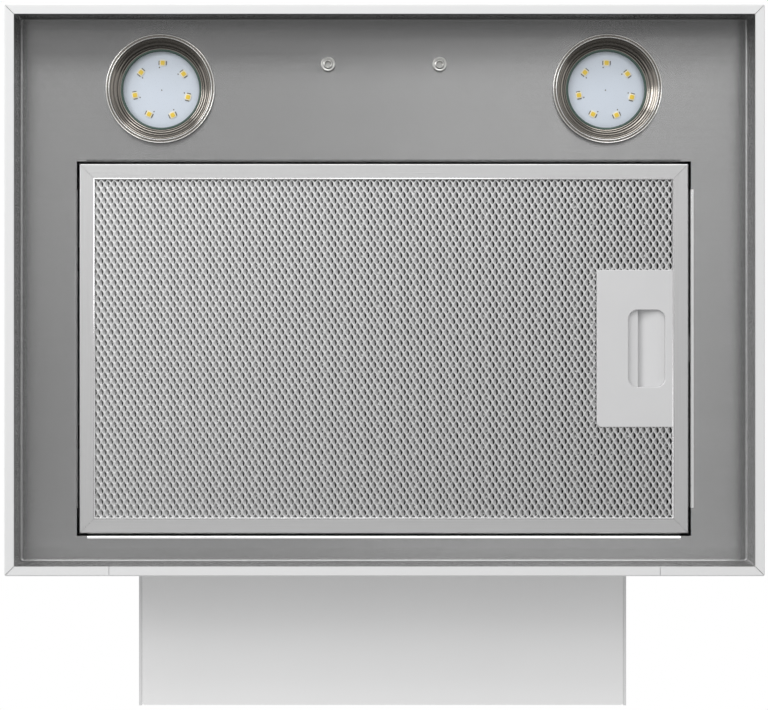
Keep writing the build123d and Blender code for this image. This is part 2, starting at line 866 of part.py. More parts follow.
def chimney_lower():
    """The lower chimney section. It stands on the canopy, and its sides reach further down behind it."""
    half, t = chimney_half, chimney_t
    wrap = chimney_wrap(half, -chimney_depth, cover_height, chimney_top, 0, chimney_flange)
    wrap -= block(-half - past, half + past, -chimney_depth - past, rear_y + cover_gap, 0, canopy_height)
    wrap -= block(-half + hem_t, half - hem_t, -2 * t, past, 0, cover_height + cover_flange + cover_gap)
    for side in (-1, 1):
        x0, x1 = side * (half - hem_t), side * half
        wrap += block(x0, x1, rear_y + cover_gap, 0, cover_height, cover_height + hem_height)
        inner = side * (half - t)
        foot_y0, foot_y1 = -chimney_depth + t, rear_y - shell_t
        wrap += block(inner, inner - side * foot_flange, foot_y0, foot_y1, canopy_height, canopy_height + t)
        stop_x = side * (half - t - chimney_flange + stop_lap)
        stop_z = upper_bottom - stop_gap
        wrap += block(stop_x, stop_x + side * stop_width, -t - stop_reach, -t, stop_z - t, stop_z)
    for x, y in chimney_screw_places():
        wrap -= rod(x, y, canopy_height - past, canopy_height + t + past, screw_r + screw_gap)
    return wrap


def chimney_bottom_cover():
    """The plain underside that closes the chimney behind the canopy, with turned up edges."""
    half = chimney_half - hem_t - cover_gap / 2
    y0, y1 = rear_y + cover_gap, -cover_gap
    cover = block(-half, half, y0, y1, cover_height, cover_height + cover_flange)
    rear_edges = cover.edges().filter_by(Axis.Z).sort_by(Axis.Y)[-2:]
    cover = fillet(rear_edges, chimney_fold_r)
    t = cover_t
    top = cover_height + cover_flange
    cover -= block(-half + t, half - t, y0 + t, y1 - t, cover_height + t, top + past)
    room = box_half + cover_box_gap
    return cover - block(-room, room, y0 - past, past, canopy_height - cover_gap, top + past)


def chimney_upper():
    """The upper chimney section, which telescopes inside the lower one, with side vents near its top."""
    half = chimney_half - chimney_t - telescope_gap
    front = -chimney_depth + chimney_t + telescope_gap
    rear_face = -chimney_t - telescope_gap
    wrap = chimney_wrap(half, front, upper_bottom, upper_top, rear_face, chimney_flange)
    mid = -chimney_depth / 2
    for i in range(vent_count):
        z = upper_top - vent_from_top - i * vent_pitch
        y0, y1 = mid - vent_length / 2, mid + vent_length / 2
        wrap -= block(-half - past, half + past, y0, y1, z - vent_height / 2, z + vent_height / 2)
    return wrap


def chimney_bracket():
    """The upper section's bracket: a strip on the wall, joggled round the chimney's flanges."""
    half = chimney_half - 2 * chimney_t - telescope_gap
    inner = half + chimney_t - chimney_flange - bracket_side_gap
    t = bracket_t
    z1 = upper_top - bracket_from_top
    z0 = z1 - bracket_height
    ear_y = -2 * chimney_t - telescope_gap - bracket_ear_gap
    strap = block(-inner, inner, -t, 0, z0, z1)
    for side in (-1, 1):
        strap += block(side * inner, side * (inner - t), ear_y - t, 0, z0, z1)
        strap += block(side * (inner - t), side * half, ear_y - t, ear_y, z0, z1)
        strap += block(side * (half - t), side * half, ear_y - bracket_ear, ear_y, z0, z1)
        mid = (z0 + z1) / 2
        strap -= Pos(side * bracket_hole_x, 0, mid) * Rot(90, 0, 0) * Cylinder(bracket_hole_r, 4 * t)
    return strap


def blower_box():
    """The sheet box that carries the blower: it hangs on the wall and stands on the canopy."""
    hx, t = box_half, box_t
    low = canopy_height
    box = block(-hx, hx, box_front, 0, low, box_top)
    box -= block(-hx + t, hx - t, box_front + t, -t, low + t, box_top - t)
    hole_x = hx - air_opening_margin
    hole_y0, hole_y1 = box_front + air_opening_margin, rear_y - box_foot
    box -= block(-hole_x, hole_x, hole_y0, hole_y1, low - past, low + t + past)
    for side in (-1, 1):
        box += block(side * hx, side * (hx + box_foot), box_front, rear_y - shell_t, low, low + t)
        box -= Pos(side * wall_hole_x, 0, wall_hole_z) * Rot(90, 0, 0) * Cylinder(wall_hole_r, 4 * t)
    for x, y in box_screw_places():
        box -= rod(x, y, low - past, low + t + past, screw_r + screw_gap)
    box -= block(*neck_inside(), box_ceiling - past, box_top + past)
    for x, y in neck_screw_places() + collar_screw_places():
        box -= rod(x, y, box_ceiling - past, box_top + past, screw_r + screw_gap)
    return box


def neck_inside():
    inner = scroll_half - scroll_t
    return (-inner, inner, neck_front + scroll_t, neck_rear - scroll_t)


def neck_screw_places():
    x = scroll_half * 0.6
    ys = (neck_front - neck_flange / 2, neck_rear + neck_flange / 2)
    return [(side * x, y) for side in (-1, 1) for y in ys]


def collar_screw_places():
    x, y = collar_base_x / 2 - collar_screw_inset, collar_base_y / 2 - collar_screw_inset
    return [(sx * x, neck_mid + sy * y) for sx in (-1, 1) for sy in (-1, 1)]


def scroll_point(angle, inset):
    r = scroll_radius(angle) - inset
    return (0, scroll_y + r * cos(radians(angle)), scroll_z + r * sin(radians(angle)))


def scroll_outline(inset):
    """The scroll from the side: arcs whose radius grows evenly round the wheel, then a straight neck."""
    step = (360 - scroll_start_angle) / scroll_arcs
    angles = [scroll_start_angle + i * step for i in range(scroll_arcs)]
    spiral = [
        ThreePointArc(*[scroll_point(angle + part * step, inset) for part in (0, 0.5, 1)])
        for angle in angles
    ]
    first, last = scroll_point(scroll_start_angle, inset), scroll_point(360, inset)
    neck_y = neck_front + inset
    corner = (0, neck_y, first[2])
    top_front, top_rear = (0, neck_y, box_ceiling), (0, last[1], box_ceiling)
    edges = spiral + [Line(last, top_rear), Line(top_rear, top_front)]
    if inset:
        edges += [Line(top_front, corner), Line(corner, first)]
    else:
        edges += [Line(top_front, first)]
    return make_face(Wire(edges))


def scroll_radius(angle):
    """The scroll's radius grows evenly from its tongue to the foot of the neck."""
    share = (angle - scroll_start_angle) / (360 - scroll_start_angle)
    return scroll_start_r + share * (scroll_end_r - scroll_start_r)


def scroll_lug_places():
    places = []
    for angle in (160, 225, 315):
        r = scroll_radius(angle) + lug_size / 2 - scroll_t / 2
        places.append((scroll_y + r * cos(radians(angle)), scroll_z + r * sin(radians(angle))))
    return places


def scroll_half_shell(side):
    """Half of the scroll, split at the wheel's middle plane, with an inlet lip and a neck flange."""
    a, b = side * scroll_split, side * scroll_half
    wall = side * (scroll_half - scroll_t)
    outer = Pos(a, 0, 0) * extrude(scroll_outline(0), abs(b - a), dir=(side, 0, 0))
    hollow = extrude(scroll_outline(scroll_t), abs(wall - a) + past, dir=(side, 0, 0))
    inner = Pos(a - side * past, 0, 0) * hollow
    half_lug = lug_size / 2
    for y, z in scroll_lug_places():
        x0, x1 = sorted((a, a + side * lug_t))
        outer += block(x0, x1, y - half_lug, y + half_lug, z - half_lug, z + half_lug)
    for y in ((neck_front, neck_front - neck_flange), (neck_rear, neck_rear + neck_flange)):
        outer += block(a, b, min(y), max(y), box_ceiling - neck_flange_t, box_ceiling)
    lip_in = side * (scroll_half - scroll_t - inlet_lip)
    lip = cross_rod(*sorted((lip_in, b)), scroll_y, scroll_z, inlet_r + scroll_t)
    shell = outer - inner + lip
    shell -= cross_rod(*sorted((lip_in - side * past, b + side * past)), scroll_y, scroll_z, inlet_r)
    rim = circles_of(shell, inlet_r)
    shell = chamfer(rim[-1 if side > 0 else 0], scroll_t * 0.8)
    for y, z in scroll_lug_places():
        x0, x1 = sorted((a - side * past, a + side * (lug_t + past)))
        shell -= cross_rod(x0, x1, y, z, lug_screw_r + screw_gap)
    for x, y in neck_screw_places():
        z0 = box_ceiling - neck_flange_t - past
        shell -= rod(x, y, z0, box_ceiling + past, screw_r + screw_gap)
    return shell


def scroll_screws():
    """Three screws along X that hold the two scroll halves together."""
    screws = []
    for y, z in scroll_lug_places():
        head_x = scroll_split + lug_t
        body = cross_rod(-head_x, head_x, y, z, lug_screw_r)
        screws.append(body + cross_rod(head_x, head_x + screw_head_t, y, z, screw_head_r))
    return screws


def impeller():
    """A double inlet wheel: a disc on a hub, forward leaning blades on both sides, and two end rings."""
    mid_r = impeller_r - blade_depth / 2
    wheel = cross_rod(-disc_t / 2, disc_t / 2, 0, 0, impeller_r)
    wheel += cross_rod(-hub_back, hub_front, 0, 0, hub_r)
    for side in (-1, 1):
        x0, x1 = sorted((side * (impeller_half - ring_t), side * impeller_half))
        hole = cross_rod(x0 - past, x1 + past, 0, 0, impeller_r - blade_depth)
        wheel += cross_rod(x0, x1, 0, 0, impeller_r) - hole
    blade = Rot(blade_tilt, 0, 0) * Box(2 * impeller_half - ring_t, blade_t, blade_depth * 0.95)
    blades = [Rot(i * 360 / blade_count, 0, 0) * Pos(0, 0, mid_r) * blade for i in range(blade_count)]
    wheel = wheel.fuse(*blades)
    wheel -= cross_rod(-hub_back - past, hub_front + past, 0, 0, shaft_r + shaft_fit)
    return Pos(0, scroll_y, scroll_z) * wheel


def impeller_nut():
    nut = extrude(RegularPolygon(nut_across / 2, 6, major_radius=False), nut_t)
    nut -= Cylinder(shaft_r + shaft_fit, 4 * nut_t)
    return Pos(hub_front, scroll_y, scroll_z) * Rot(0, 90, 0) * nut


def on_motor(solid):
    return Pos(0, scroll_y, scroll_z) * solid


def motor_can(end, split, toward):
    """Half of the motor's drum: a cup with a bearing seat in its floor. toward is +1 if it opens to +X."""
    inner_end = end + toward * motor_t
    hollow = cross_rod(*sorted((inner_end, split + toward * past)), 0, 0, motor_r - motor_t)
    cup = cross_rod(*sorted((end, split)), 0, 0, motor_r) - hollow
    seat_end = inner_end + toward * bearing_length
    cup += cross_rod(*sorted((inner_end, seat_end)), 0, 0, bearing_r + seat_t)
    cup -= cross_rod(*sorted((inner_end, seat_end + toward * past)), 0, 0, bearing_r)
    cup -= cross_rod(*sorted((end - toward * past, seat_end)), 0, 0, shaft_r + shaft_room)
    cup = chamfer(circles_of(cup, motor_r)[0 if toward > 0 else -1], motor_t * 0.9)
    return on_motor(cup)


def motor_bearings():
    places = (motor_back + motor_t, motor_face - motor_t - bearing_length)
    rings = []
    for x in places:
        bore = cross_rod(x - past, x + bearing_length + past, 0, 0, shaft_r + shaft_fit)
        rings.append(on_motor(cross_rod(x, x + bearing_length, 0, 0, bearing_r) - bore))
    return rings


def motor_stator():
    x0, x1 = motor_back + stator_from_end + motor_t, motor_face - stator_from_end - motor_t
    bore = cross_rod(x0 - past, x1 + past, 0, 0, stator_bore_r)
    ring = cross_rod(x0, x1, 0, 0, motor_r - motor_t) - bore
    y, low, high = slot_half, stator_bore_r + slot_inset, motor_r - motor_t - slot_from_rim
    mouth_y = slot_mouth_half
    for i in range(stator_slots):
        slot = block(x0 - past, x1 + past, -y, y, low, high)
        mouth = block(x0 - past, x1 + past, -mouth_y, mouth_y, stator_bore_r - past, low + past)
        ring -= Rot(i * 360 / stator_slots, 0, 0) * (slot + mouth)
    return on_motor(ring)


def motor_rotor():
    x0, x1 = motor_back + stator_from_end + motor_t, motor_face - stator_from_end - motor_t
    drum = cross_rod(x0, x1, 0, 0, stator_bore_r - air_gap)
    return on_motor(drum - cross_rod(x0 - past, x1 + past, 0, 0, shaft_r + shaft_fit))


def motor_shaft():
    shaft = cross_rod(motor_back - shaft_tail, hub_front + nut_t + shaft_past_nut, 0, 0, shaft_r)
    shaft = chamfer(shaft.edges().filter_by(GeomType.CIRCLE), shaft_end_bevel)
    return on_motor(shaft)


def arm_angles():
    return [90 + i * 360 / arm_count for i in range(arm_count)]


def motor_bracket():
    """A plate behind the motor with three arms that end on rubber bushes at the inlet's edge."""
    x1 = motor_back
    x0 = x1 - bracket_plate_t
    plate = cross_rod(x0, x1, 0, 0, bracket_hub_r)
    arm = block(x0, x1, -arm_width / 2, arm_width / 2, bracket_hub_r - arm_root, arm_r)
    for angle in arm_angles():
        plate += Rot(angle, 0, 0) * (arm + Pos(0, 0, arm_r) * cross_rod(x0, x1, 0, 0, arm_width / 2))
    plate -= cross_rod(x0 - past, x1 + past, 0, 0, shaft_r + bracket_hub_play)
    return on_motor(plate)


def rubber_bushes():
    bushes = []
    for angle in arm_angles():
        bush = Rot(angle, 0, 0) * Pos(0, 0, arm_r) * cross_rod(motor_back, -scroll_half, 0, 0, bush_r)
        bushes.append(on_motor(bush))
    return bushes


def outlet_collar():
    """The round duct spigot on a square base, with a seat for the flaps and holes for their pin."""
    z = box_top
    hx, hy = collar_base_x / 2, collar_base_y / 2
    base_y0, base_y1 = neck_mid - hy, neck_mid + hy
    base = rounded_block(-hx, hx, base_y0, base_y1, z, z + collar_base_t, collar_corner_r)
    top = z + collar_height
    tube = rod(0, neck_mid, z, top, collar_r)
    collar = base + tube
    collar -= rod(0, neck_mid, z - past, top + past, collar_r - collar_t)
    axis_z = z + flap_axis_height
    seat_top = axis_z - flap_drop - flap_seat_gap
    seat_r = collar_r - collar_t
    seat = rod(0, neck_mid, seat_top - flap_seat_t, seat_top, seat_r)
    collar += seat - rod(0, neck_mid, z, top, seat_r - flap_seat_width)
    collar -= cross_rod(-collar_r - past, collar_r + past, neck_mid, axis_z, flap_pin_r + flap_fit)
    for x, y in collar_screw_places():
        collar -= rod(x, y, z - past, z + collar_base_t + past, screw_r + screw_gap)
    return collar


def flap_pin():
    half = collar_r - pin_from_rim
    return cross_rod(-half, half, neck_mid, box_top + flap_axis_height, flap_pin_r)


def flap(side):
    """A half disc that hangs on the pin by two knuckles, over its seat. side is +1 for the rear one."""
    axis_z = box_top + flap_axis_height
    r = collar_r - collar_t - flap_gap
    plate = rod(0, 0, -flap_drop, -flap_drop + flap_t, r)
    reach = r + past
    plate -= block(-reach, reach, side * flap_inner, -side * reach, -reach, reach)
    first = knuckle_x if side > 0 else knuckle_x + knuckle_length + knuckle_gap
    for x0 in (first, -first - knuckle_length):
        x1 = x0 + knuckle_length
        web_y = side * (flap_inner + knuckle_web)
        plate += block(x0, x1, 0, web_y, -flap_drop, -flap_drop + flap_t)
        plate += cross_rod(x0, x1, 0, 0, knuckle_r)
    plate -= cross_rod(-reach, reach, 0, 0, flap_pin_r + flap_fit)
    return Pos(0, neck_mid, axis_z) * plate


def capacitor_y():
    return -box_t - capacitor_r - capacitor_from_wall


def capacitor():
    z = capacitor_z
    can = rod(capacitor_x, capacitor_y(), z, z + capacitor_length, capacitor_r)
    return chamfer(can.edges().filter_by(GeomType.CIRCLE), capacitor_bevel)


def capacitor_clip():
    """A sprung strap round the capacitor, on the rear wall of the blower box."""
    x, y = capacitor_x, capacitor_y()
    mid = capacitor_z + capacitor_length / 2
    z0, z1 = mid - clip_strap_half, mid + clip_strap_half
    strap = rod(x, y, z0, z1, capacitor_r + clip_strap_t)
    mouth_x, mouth_y = clip_mouth_half, y - clip_mouth_depth
    strap -= block(x - mouth_x, x + mouth_x, y - 2 * capacitor_r, mouth_y, z0 - past, z1 + past)
    strap += block(x - clip_foot_half, x + clip_foot_half, -box_t - clip_strap_t, -box_t, z0, z1)
    return strap - rod(x, y, z0 - past, z1 + past, capacitor_r + clip_strap_fit)


def terminal_space(inset):
    y1 = -terminal_from_wall - inset
    y0 = y1 - terminal_depth + 2 * inset
    return (terminal_x + inset, terminal_x + terminal_width - inset, y0, y1)


def gland_place():
    x0, x1, y0, y1 = terminal_space(0)
    return (x0 + x1) / 2, (y0 + y1) / 2


def terminal_box():
    z0, z1 = box_top, box_top + terminal_height
    case = rounded_block(*terminal_space(0), z0, z1, terminal_corner_r)
    case -= block(*terminal_space(terminal_t), z0 - past, z1 - terminal_t)
    return case - rod(*gland_place(), z0, z1 + past, gland_bore_r + stem_wall)


def cable_gland():
    """The cable inlet: a hexagon body with a clamping cap, and a bore for the mains cable."""
    x, y = gland_place()
    z = box_top + terminal_height
    body = Pos(x, y, z) * extrude(RegularPolygon(gland_r, 6, major_radius=False), gland_neck)
    cap = rod(x, y, z + gland_neck, z + gland_height, gland_r - cap_inset)
    cap = chamfer(cap.edges().sort_by(Axis.Z)[-1], gland_bevel)
    stem_low = z - 2 * terminal_t
    stem = rod(x, y, stem_low, z, gland_bore_r + stem_wall - stem_fit)
    return body + cap + stem - rod(x, y, stem_low - past, z + gland_height + past, gland_bore_r)


save("canopy_shell", canopy_shell())
save("canopy_rear_plate", canopy_rear_plate())
save("canopy_top", canopy_top())
save("underside_panel", underside_panel())
save("panel_rivets", rivet(-1), rivet(1))

for side_name, (lamp_cx, lamp_cy) in lamp_places().items():
    save(f"lamp_ring_{side_name}", lamp_ring(lamp_cx, lamp_cy))
    save(f"lamp_lens_{side_name}", lamp_lens(lamp_cx, lamp_cy))
    save(f"lamp_board_{side_name}", lamp_board(lamp_cx, lamp_cy))
    save(f"led_chips_{side_name}", *led_chips(lamp_cx, lamp_cy))
    save(f"lamp_housing_{side_name}", lamp_housing(lamp_cx, lamp_cy))

save("lamp_clips", *[clip for x, y in lamp_places().values() for clip in lamp_clips(x, y)])

save("control_bezel", control_bezel())
save("control_housing", control_housing())
save("switch_board", switch_board())
save("switch_domes", *switch_domes())
for number, button_x in enumerate(button_xs(), start=1):
    save(f"button_{number}", button(button_x))

sheet_low, sheet_high = frame_low + frame_t, frame_high - frame_t
save("filter_frame", *filter_frame())
save("filter_mesh_lower", mesh_outline(sheet_low, sheet_low + mesh_sheet_t))
save("filter_mesh_core", mesh_core())
save("filter_mesh_upper", mesh_outline(sheet_high - mesh_sheet_t, sheet_high))
save("filter_tabs", *filter_tabs())
save("handle_plate", handle_plate())
save("handle_back_plate", handle_back_plate())
save("latch_slider", latch_slider())

save("chimney_lower", chimney_lower())
save("chimney_bottom_cover", chimney_bottom_cover())
save("chimney_upper", chimney_upper())
save("chimney_bracket", chimney_bracket())

save("blower_box", blower_box())
save("scroll_left", scroll_half_shell(-1))
save("scroll_right", scroll_half_shell(1))
save("impeller", impeller())
save("impeller_nut", impeller_nut())
motor_split = (motor_back + motor_face) / 2
save("motor_can_left", motor_can(motor_back, motor_split, 1))
save("motor_can_right", motor_can(motor_face, motor_split, -1))
save("motor_bearings", *motor_bearings())
save("motor_stator", motor_stator())
save("motor_rotor", motor_rotor())
save("motor_shaft", motor_shaft())
save("motor_bracket", motor_bracket())
save("rubber_bushes", *rubber_bushes())

save("outlet_collar", outlet_collar())
save("flap_pin", flap_pin())
save("flap_front", flap(-1))
save("flap_rear", flap(1))
save("capacitor", capacitor())
save("capacitor_clip", capacitor_clip())
save("terminal_box", terminal_box())
save("cable_gland", cable_gland())

sheet_screws = [screw(x, y, canopy_height + box_t) for x, y in box_screw_places()]
sheet_screws += [screw(x, y, canopy_height + chimney_t) for x, y in chimney_screw_places()]
sheet_screws += [screw(x, y, box_top + collar_base_t) for x, y in collar_screw_places()]
neck_grip = neck_flange_t + box_t - screw_gap
neck_seat = box_ceiling - neck_flange_t
sheet_screws += [screw(x, y, neck_seat, neck_grip, down=False) for x, y in neck_screw_places()]
save("sheet_screws", *sheet_screws)
save("scroll_screws", *scroll_screws())

print(len(made), "nodes, total solid volume", round(sum(made.values()) / 1000), "cm3")
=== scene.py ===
# %% [markdown]
# # A chimney range hood, seen from below
#
# This lesson dresses a hood that was built in CAD. The CAD model gives every piece its size and place, and
# the cells below give it what a lens would see: brushed steel, white paint, an expanded aluminium mesh, and
# two small lamps with their light chips. The first cell loads the CAD model as a fixed frame. Everything
# that is made later reads its place from that frame, so nothing has to be moved into position by eye.

# %% Load the frame
import json
import math

import bpy
import numpy as np
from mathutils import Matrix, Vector


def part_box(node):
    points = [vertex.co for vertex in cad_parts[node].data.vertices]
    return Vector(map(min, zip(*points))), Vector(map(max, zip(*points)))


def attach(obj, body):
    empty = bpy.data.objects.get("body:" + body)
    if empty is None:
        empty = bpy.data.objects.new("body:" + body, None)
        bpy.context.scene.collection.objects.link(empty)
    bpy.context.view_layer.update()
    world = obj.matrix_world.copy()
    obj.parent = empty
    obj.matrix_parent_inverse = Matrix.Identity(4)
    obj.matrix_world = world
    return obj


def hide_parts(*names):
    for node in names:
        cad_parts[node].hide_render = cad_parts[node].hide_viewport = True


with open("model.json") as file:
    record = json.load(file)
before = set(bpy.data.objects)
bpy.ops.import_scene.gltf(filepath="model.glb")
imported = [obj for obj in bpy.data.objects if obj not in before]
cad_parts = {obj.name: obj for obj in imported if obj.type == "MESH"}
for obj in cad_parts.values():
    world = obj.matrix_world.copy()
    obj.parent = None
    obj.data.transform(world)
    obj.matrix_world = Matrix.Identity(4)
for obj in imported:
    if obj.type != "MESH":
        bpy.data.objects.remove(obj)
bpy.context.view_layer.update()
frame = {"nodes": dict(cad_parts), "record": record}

mm = 0.001
nodes = frame["nodes"]

# %% [markdown]
# ## Placing the camera
#
# The picture is taken from straight below the hood, about a metre under its rim, with the front of the hood
# at the top of the picture. The rim's edges are parallel to the picture's edges, so the camera isn't tilted:
# it looks straight up, and a small lens shift frames the hood, as an architect's camera would. A tilted
# camera would make the long edges run together. The focal length follows from one known size: the whole
# picture is as wide as 504.5 mm at the height of the rim.

# %% Camera
rim_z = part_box("canopy_shell")[0].z
front_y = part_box("canopy_shell")[0].y
camera_drop = 1.0
picture_width = 768
picture_height = 710
rim_scale = 0.6569 * mm
axis_px = (351, 278)
tray_middle_px = 384.6
tray_front_px = 4.0

camera_data = bpy.data.cameras.new("camera")
camera = bpy.data.objects.new("camera", camera_data)
bpy.context.scene.collection.objects.link(camera)
bpy.context.scene.camera = camera
camera_data.lens = camera_data.sensor_width * camera_drop / (picture_width * rim_scale)
camera_data.shift_x = (picture_width / 2 - axis_px[0]) / picture_width
camera_data.shift_y = (axis_px[1] - picture_height / 2) / picture_width
camera_data.clip_start = 0.05
camera.location = (
    (axis_px[0] - tray_middle_px) * rim_scale,
    front_y + (axis_px[1] - tray_front_px) * rim_scale,
    rim_z - camera_drop,
)
camera.rotation_euler = (math.pi, 0, 0)
print("lens in mm:", round(camera_data.lens, 2), "camera at:", [round(v, 3) for v in camera.location])

# %% [markdown]
# ## Lighting the studio
#
# The hood's underside is what shows, so most of the light has to come from below. The hood hangs in a bright
# white room over a pale floor, which lights it evenly, and soft boxes add a direction. The world is white
# where the camera, a mirror or a glass looks at it. A dark card hangs behind the hood, where the wall would
# be, and only polished metal sees it. Without it the steel would be as bright from the wall side as from the
# front, and the front wall of the recess would not fall dark.

# %% Floor, world and lamps
floor_z = -2.4
floor_half = 6.0
card_y = 0.6
card_foot_z = -1.6
card_half = 3.0
floor_grey = (0.82, 0.82, 0.82)
card_grey = (0.02, 0.02, 0.02)
sky_strength = 0.52


def flat_stage(name, corners, colour):
    """A four sided sheet of the studio, with one plain matt colour."""
    mesh = bpy.data.meshes.new(name)
    mesh.from_pydata(corners, [], [(0, 1, 2, 3)])
    material = bpy.data.materials.new(name)
    material.use_nodes = True
    shader = material.node_tree.nodes["Principled BSDF"]
    shader.inputs["Base Color"].default_value = (*colour, 1)
    shader.inputs["Roughness"].default_value = 0.9
    mesh.materials.append(material)
    sheet = bpy.data.objects.new(name, mesh)
    bpy.context.scene.collection.objects.link(sheet)
    return sheet


signs = [(-1, -1), (1, -1), (1, 1), (-1, 1)]
flat_stage("floor", [(x * floor_half, y * floor_half, floor_z) for x, y in signs], floor_grey)
card_ends = [(-card_half, card_foot_z), (card_half, card_foot_z), (card_half, rim_z), (-card_half, rim_z)]
card = flat_stage("dark_card", [(x, card_y, z) for x, z in card_ends], card_grey)
card.visible_camera = False
card.visible_diffuse = False
card.visible_transmission = False
card.visible_shadow = False

world = bpy.data.worlds.new("studio")
bpy.context.scene.world = world
world.use_nodes = True
world_tree = world.node_tree
sky = world_tree.nodes["Background"]
sky.inputs["Color"].default_value = (1, 1, 1, 1)
sky.inputs["Strength"].default_value = sky_strength
backdrop = world_tree.nodes.new("ShaderNodeBackground")
backdrop.inputs["Color"].default_value = (1, 1, 1, 1)
backdrop.inputs["Strength"].default_value = 1.0
ray = world_tree.nodes.new("ShaderNodeLightPath")
seen = ray.outputs["Is Camera Ray"]
for kind in ("Is Glossy Ray", "Is Transmission Ray"):
    either = world_tree.nodes.new("ShaderNodeMath")
    either.operation = "MAXIMUM"
    world_tree.links.new(seen, either.inputs[0])
    world_tree.links.new(ray.outputs[kind], either.inputs[1])
    seen = either.outputs[0]
choose = world_tree.nodes.new("ShaderNodeMixShader")
world_tree.links.new(seen, choose.inputs["Fac"])
world_tree.links.new(sky.outputs[0], choose.inputs[1])
world_tree.links.new(backdrop.outputs[0], choose.inputs[2])
world_tree.links.new(choose.outputs[0], world_tree.nodes["World Output"].inputs["Surface"])
bpy.context.scene.view_settings.view_transform = "Standard"


def soft_box(name, place, target, wide, tall, power):
    """An area lamp at place that shines towards target, with a level long side."""
    data = bpy.data.lights.new(name, "AREA")
    data.shape = "RECTANGLE"
    data.size = wide
    data.size_y = tall
    data.energy = power
    lamp = bpy.data.objects.new(name, data)
    lamp.location = place
    lamp.rotation_euler = (Vector(target) - Vector(place)).to_track_quat("-Z", "Y").to_euler()
    lamp.visible_camera = False
    bpy.context.scene.collection.objects.link(lamp)
    return lamp


hood_middle = (0, front_y / 2, rim_z)
soft_box("front_strip", (-0.2, -2.2, -1.5), hood_middle, 2.6, 0.6, 16)
soft_box("left_light", (-1.9, -1.3, -1.6), hood_middle, 1.2, 1.2, 22)
soft_box("low_light", (0.5, -1.85, -2.05), hood_middle, 1.0, 1.0, 8)
soft_box("top_light", (-1.2, -1.6, 1.8), (0, front_y / 2, 0.1), 1.6, 1.6, 14)
print("lamps:", [light.name for light in bpy.data.lights])

# %% [markdown]
# ## Shader maths as sums
#
# A finish is a small network of nodes. Wiring each node by hand hides the idea, so two helpers keep it
# readable. Signal wraps an output socket, and a sum or a product of signals adds the Math nodes that do it.
# Paint owns one material and makes any other node from its type, its settings and the values of its inputs.

# %% Signal and Paint


class Signal:
    """An output of a shader node. Sums with it add Math nodes to the same material."""

    def __init__(self, paint, socket):
        self.paint = paint
        self.socket = socket

    def maths(self, operation, *values):
        return self.paint.node("ShaderNodeMath", {"operation": operation}, dict(enumerate(values)))

    def __add__(self, other):
        return self.maths("ADD", self, other)

    def __sub__(self, other):
        return self.maths("SUBTRACT", self, other)

    def __rsub__(self, other):
        return self.maths("SUBTRACT", other, self)

    def __mul__(self, other):
        return self.maths("MULTIPLY", self, other)

    __radd__ = __add__
    __rmul__ = __mul__

    def clamped(self):
        return self.maths("MAXIMUM", self.maths("MINIMUM", self, 1.0), 0.0)


class Paint:
    """One material. Its constant values sit on the shader's own sockets."""

    def __init__(self, name, **constants):
        self.material = bpy.data.materials.new(name)
        self.material.use_nodes = True
        self.tree = self.material.node_tree
        self.shader = self.tree.nodes["Principled BSDF"]
        for socket, value in constants.items():
            self.set(socket.replace("_", " "), value)

    def node(self, kind, settings, inputs, output=0):
        """Any node. Settings come first, because they decide which sockets there are."""
        made = self.tree.nodes.new(kind)
        for key, value in settings.items():
            setattr(made, key, value)
        for socket, value in inputs.items():
            self.plug(made.inputs[socket], value)
        return Signal(self, made.outputs[output])

    def plug(self, socket, value):
        if isinstance(value, Signal):
            self.tree.links.new(value.socket, socket)
        elif isinstance(value, tuple) and len(value) == 3 and socket.type == "RGBA":
            socket.default_value = (*value, 1)
        else:
            socket.default_value = value

    def set(self, socket, value):
        self.plug(self.shader.inputs[socket], value)

    def place(self, scale):
        """Object coordinates, in metres, scaled for a pattern."""
        spot = self.node("ShaderNodeTexCoord", {}, {}, "Object")
        return self.node("ShaderNodeMapping", {}, {"Vector": spot, "Scale": scale})

    def axis(self, letter):
        """One object coordinate, in metres."""
        spot = self.node("ShaderNodeTexCoord", {}, {}, "Object")
        return self.node("ShaderNodeSeparateXYZ", {}, {"Vector": spot}, letter)

    def noise(self, place, scale, detail=2.0):
        """Cloudy noise between 0 and 1. A larger scale makes smaller clouds."""
        return self.node("ShaderNodeTexNoise", {}, {"Vector": place, "Scale": scale, "Detail": detail})

    def mix(self, factor, dark, light):
        """A colour between two colours."""
        settings = {"data_type": "RGBA"}
        return self.node("ShaderNodeMix", settings, {0: factor, 6: dark, 7: light}, 2)

    def bump(self, height, strength, depth):
        """A surface relief: height is a signal, and depth is how deep one unit of it is in metres."""
        relief = self.node("ShaderNodeBump", {}, {"Height": height, "Strength": strength, "Distance": depth})
        self.set("Normal", relief)


def shade(colour, factor):
    """The same colour, lighter or darker."""
    return tuple(min(1.0, c * factor) for c in colour)


# %% [markdown]
# ## White paint
#
# The canopy and chimney are folded steel sheet with white baked paint. Baked powder has a faint orange
# peel: soft bumps about a millimetre wide and a few microns deep. Without them a white wall looks like
# paper. Its gloss also varies a little, where hands and cloths have been. The cover under the column has
# the same paint made a little whiter, as painted light, so the paint takes its colours as values.

# %% Paint finishes


def white_paint(name, low, high):
    paint = Paint(name, IOR=1.5, Coat_Weight=0.25, Coat_Roughness=0.18)
    spot = paint.place((1, 1, 1))
    clouds = paint.noise(spot, 9.0)
    peel = paint.noise(spot, 900.0, 1.0)
    paint.set("Base Color", paint.mix(clouds, low, high))
    paint.set("Roughness", clouds * 0.08 + 0.33)
    paint.bump(peel, 0.25, 0.02 * mm)
    return paint.material


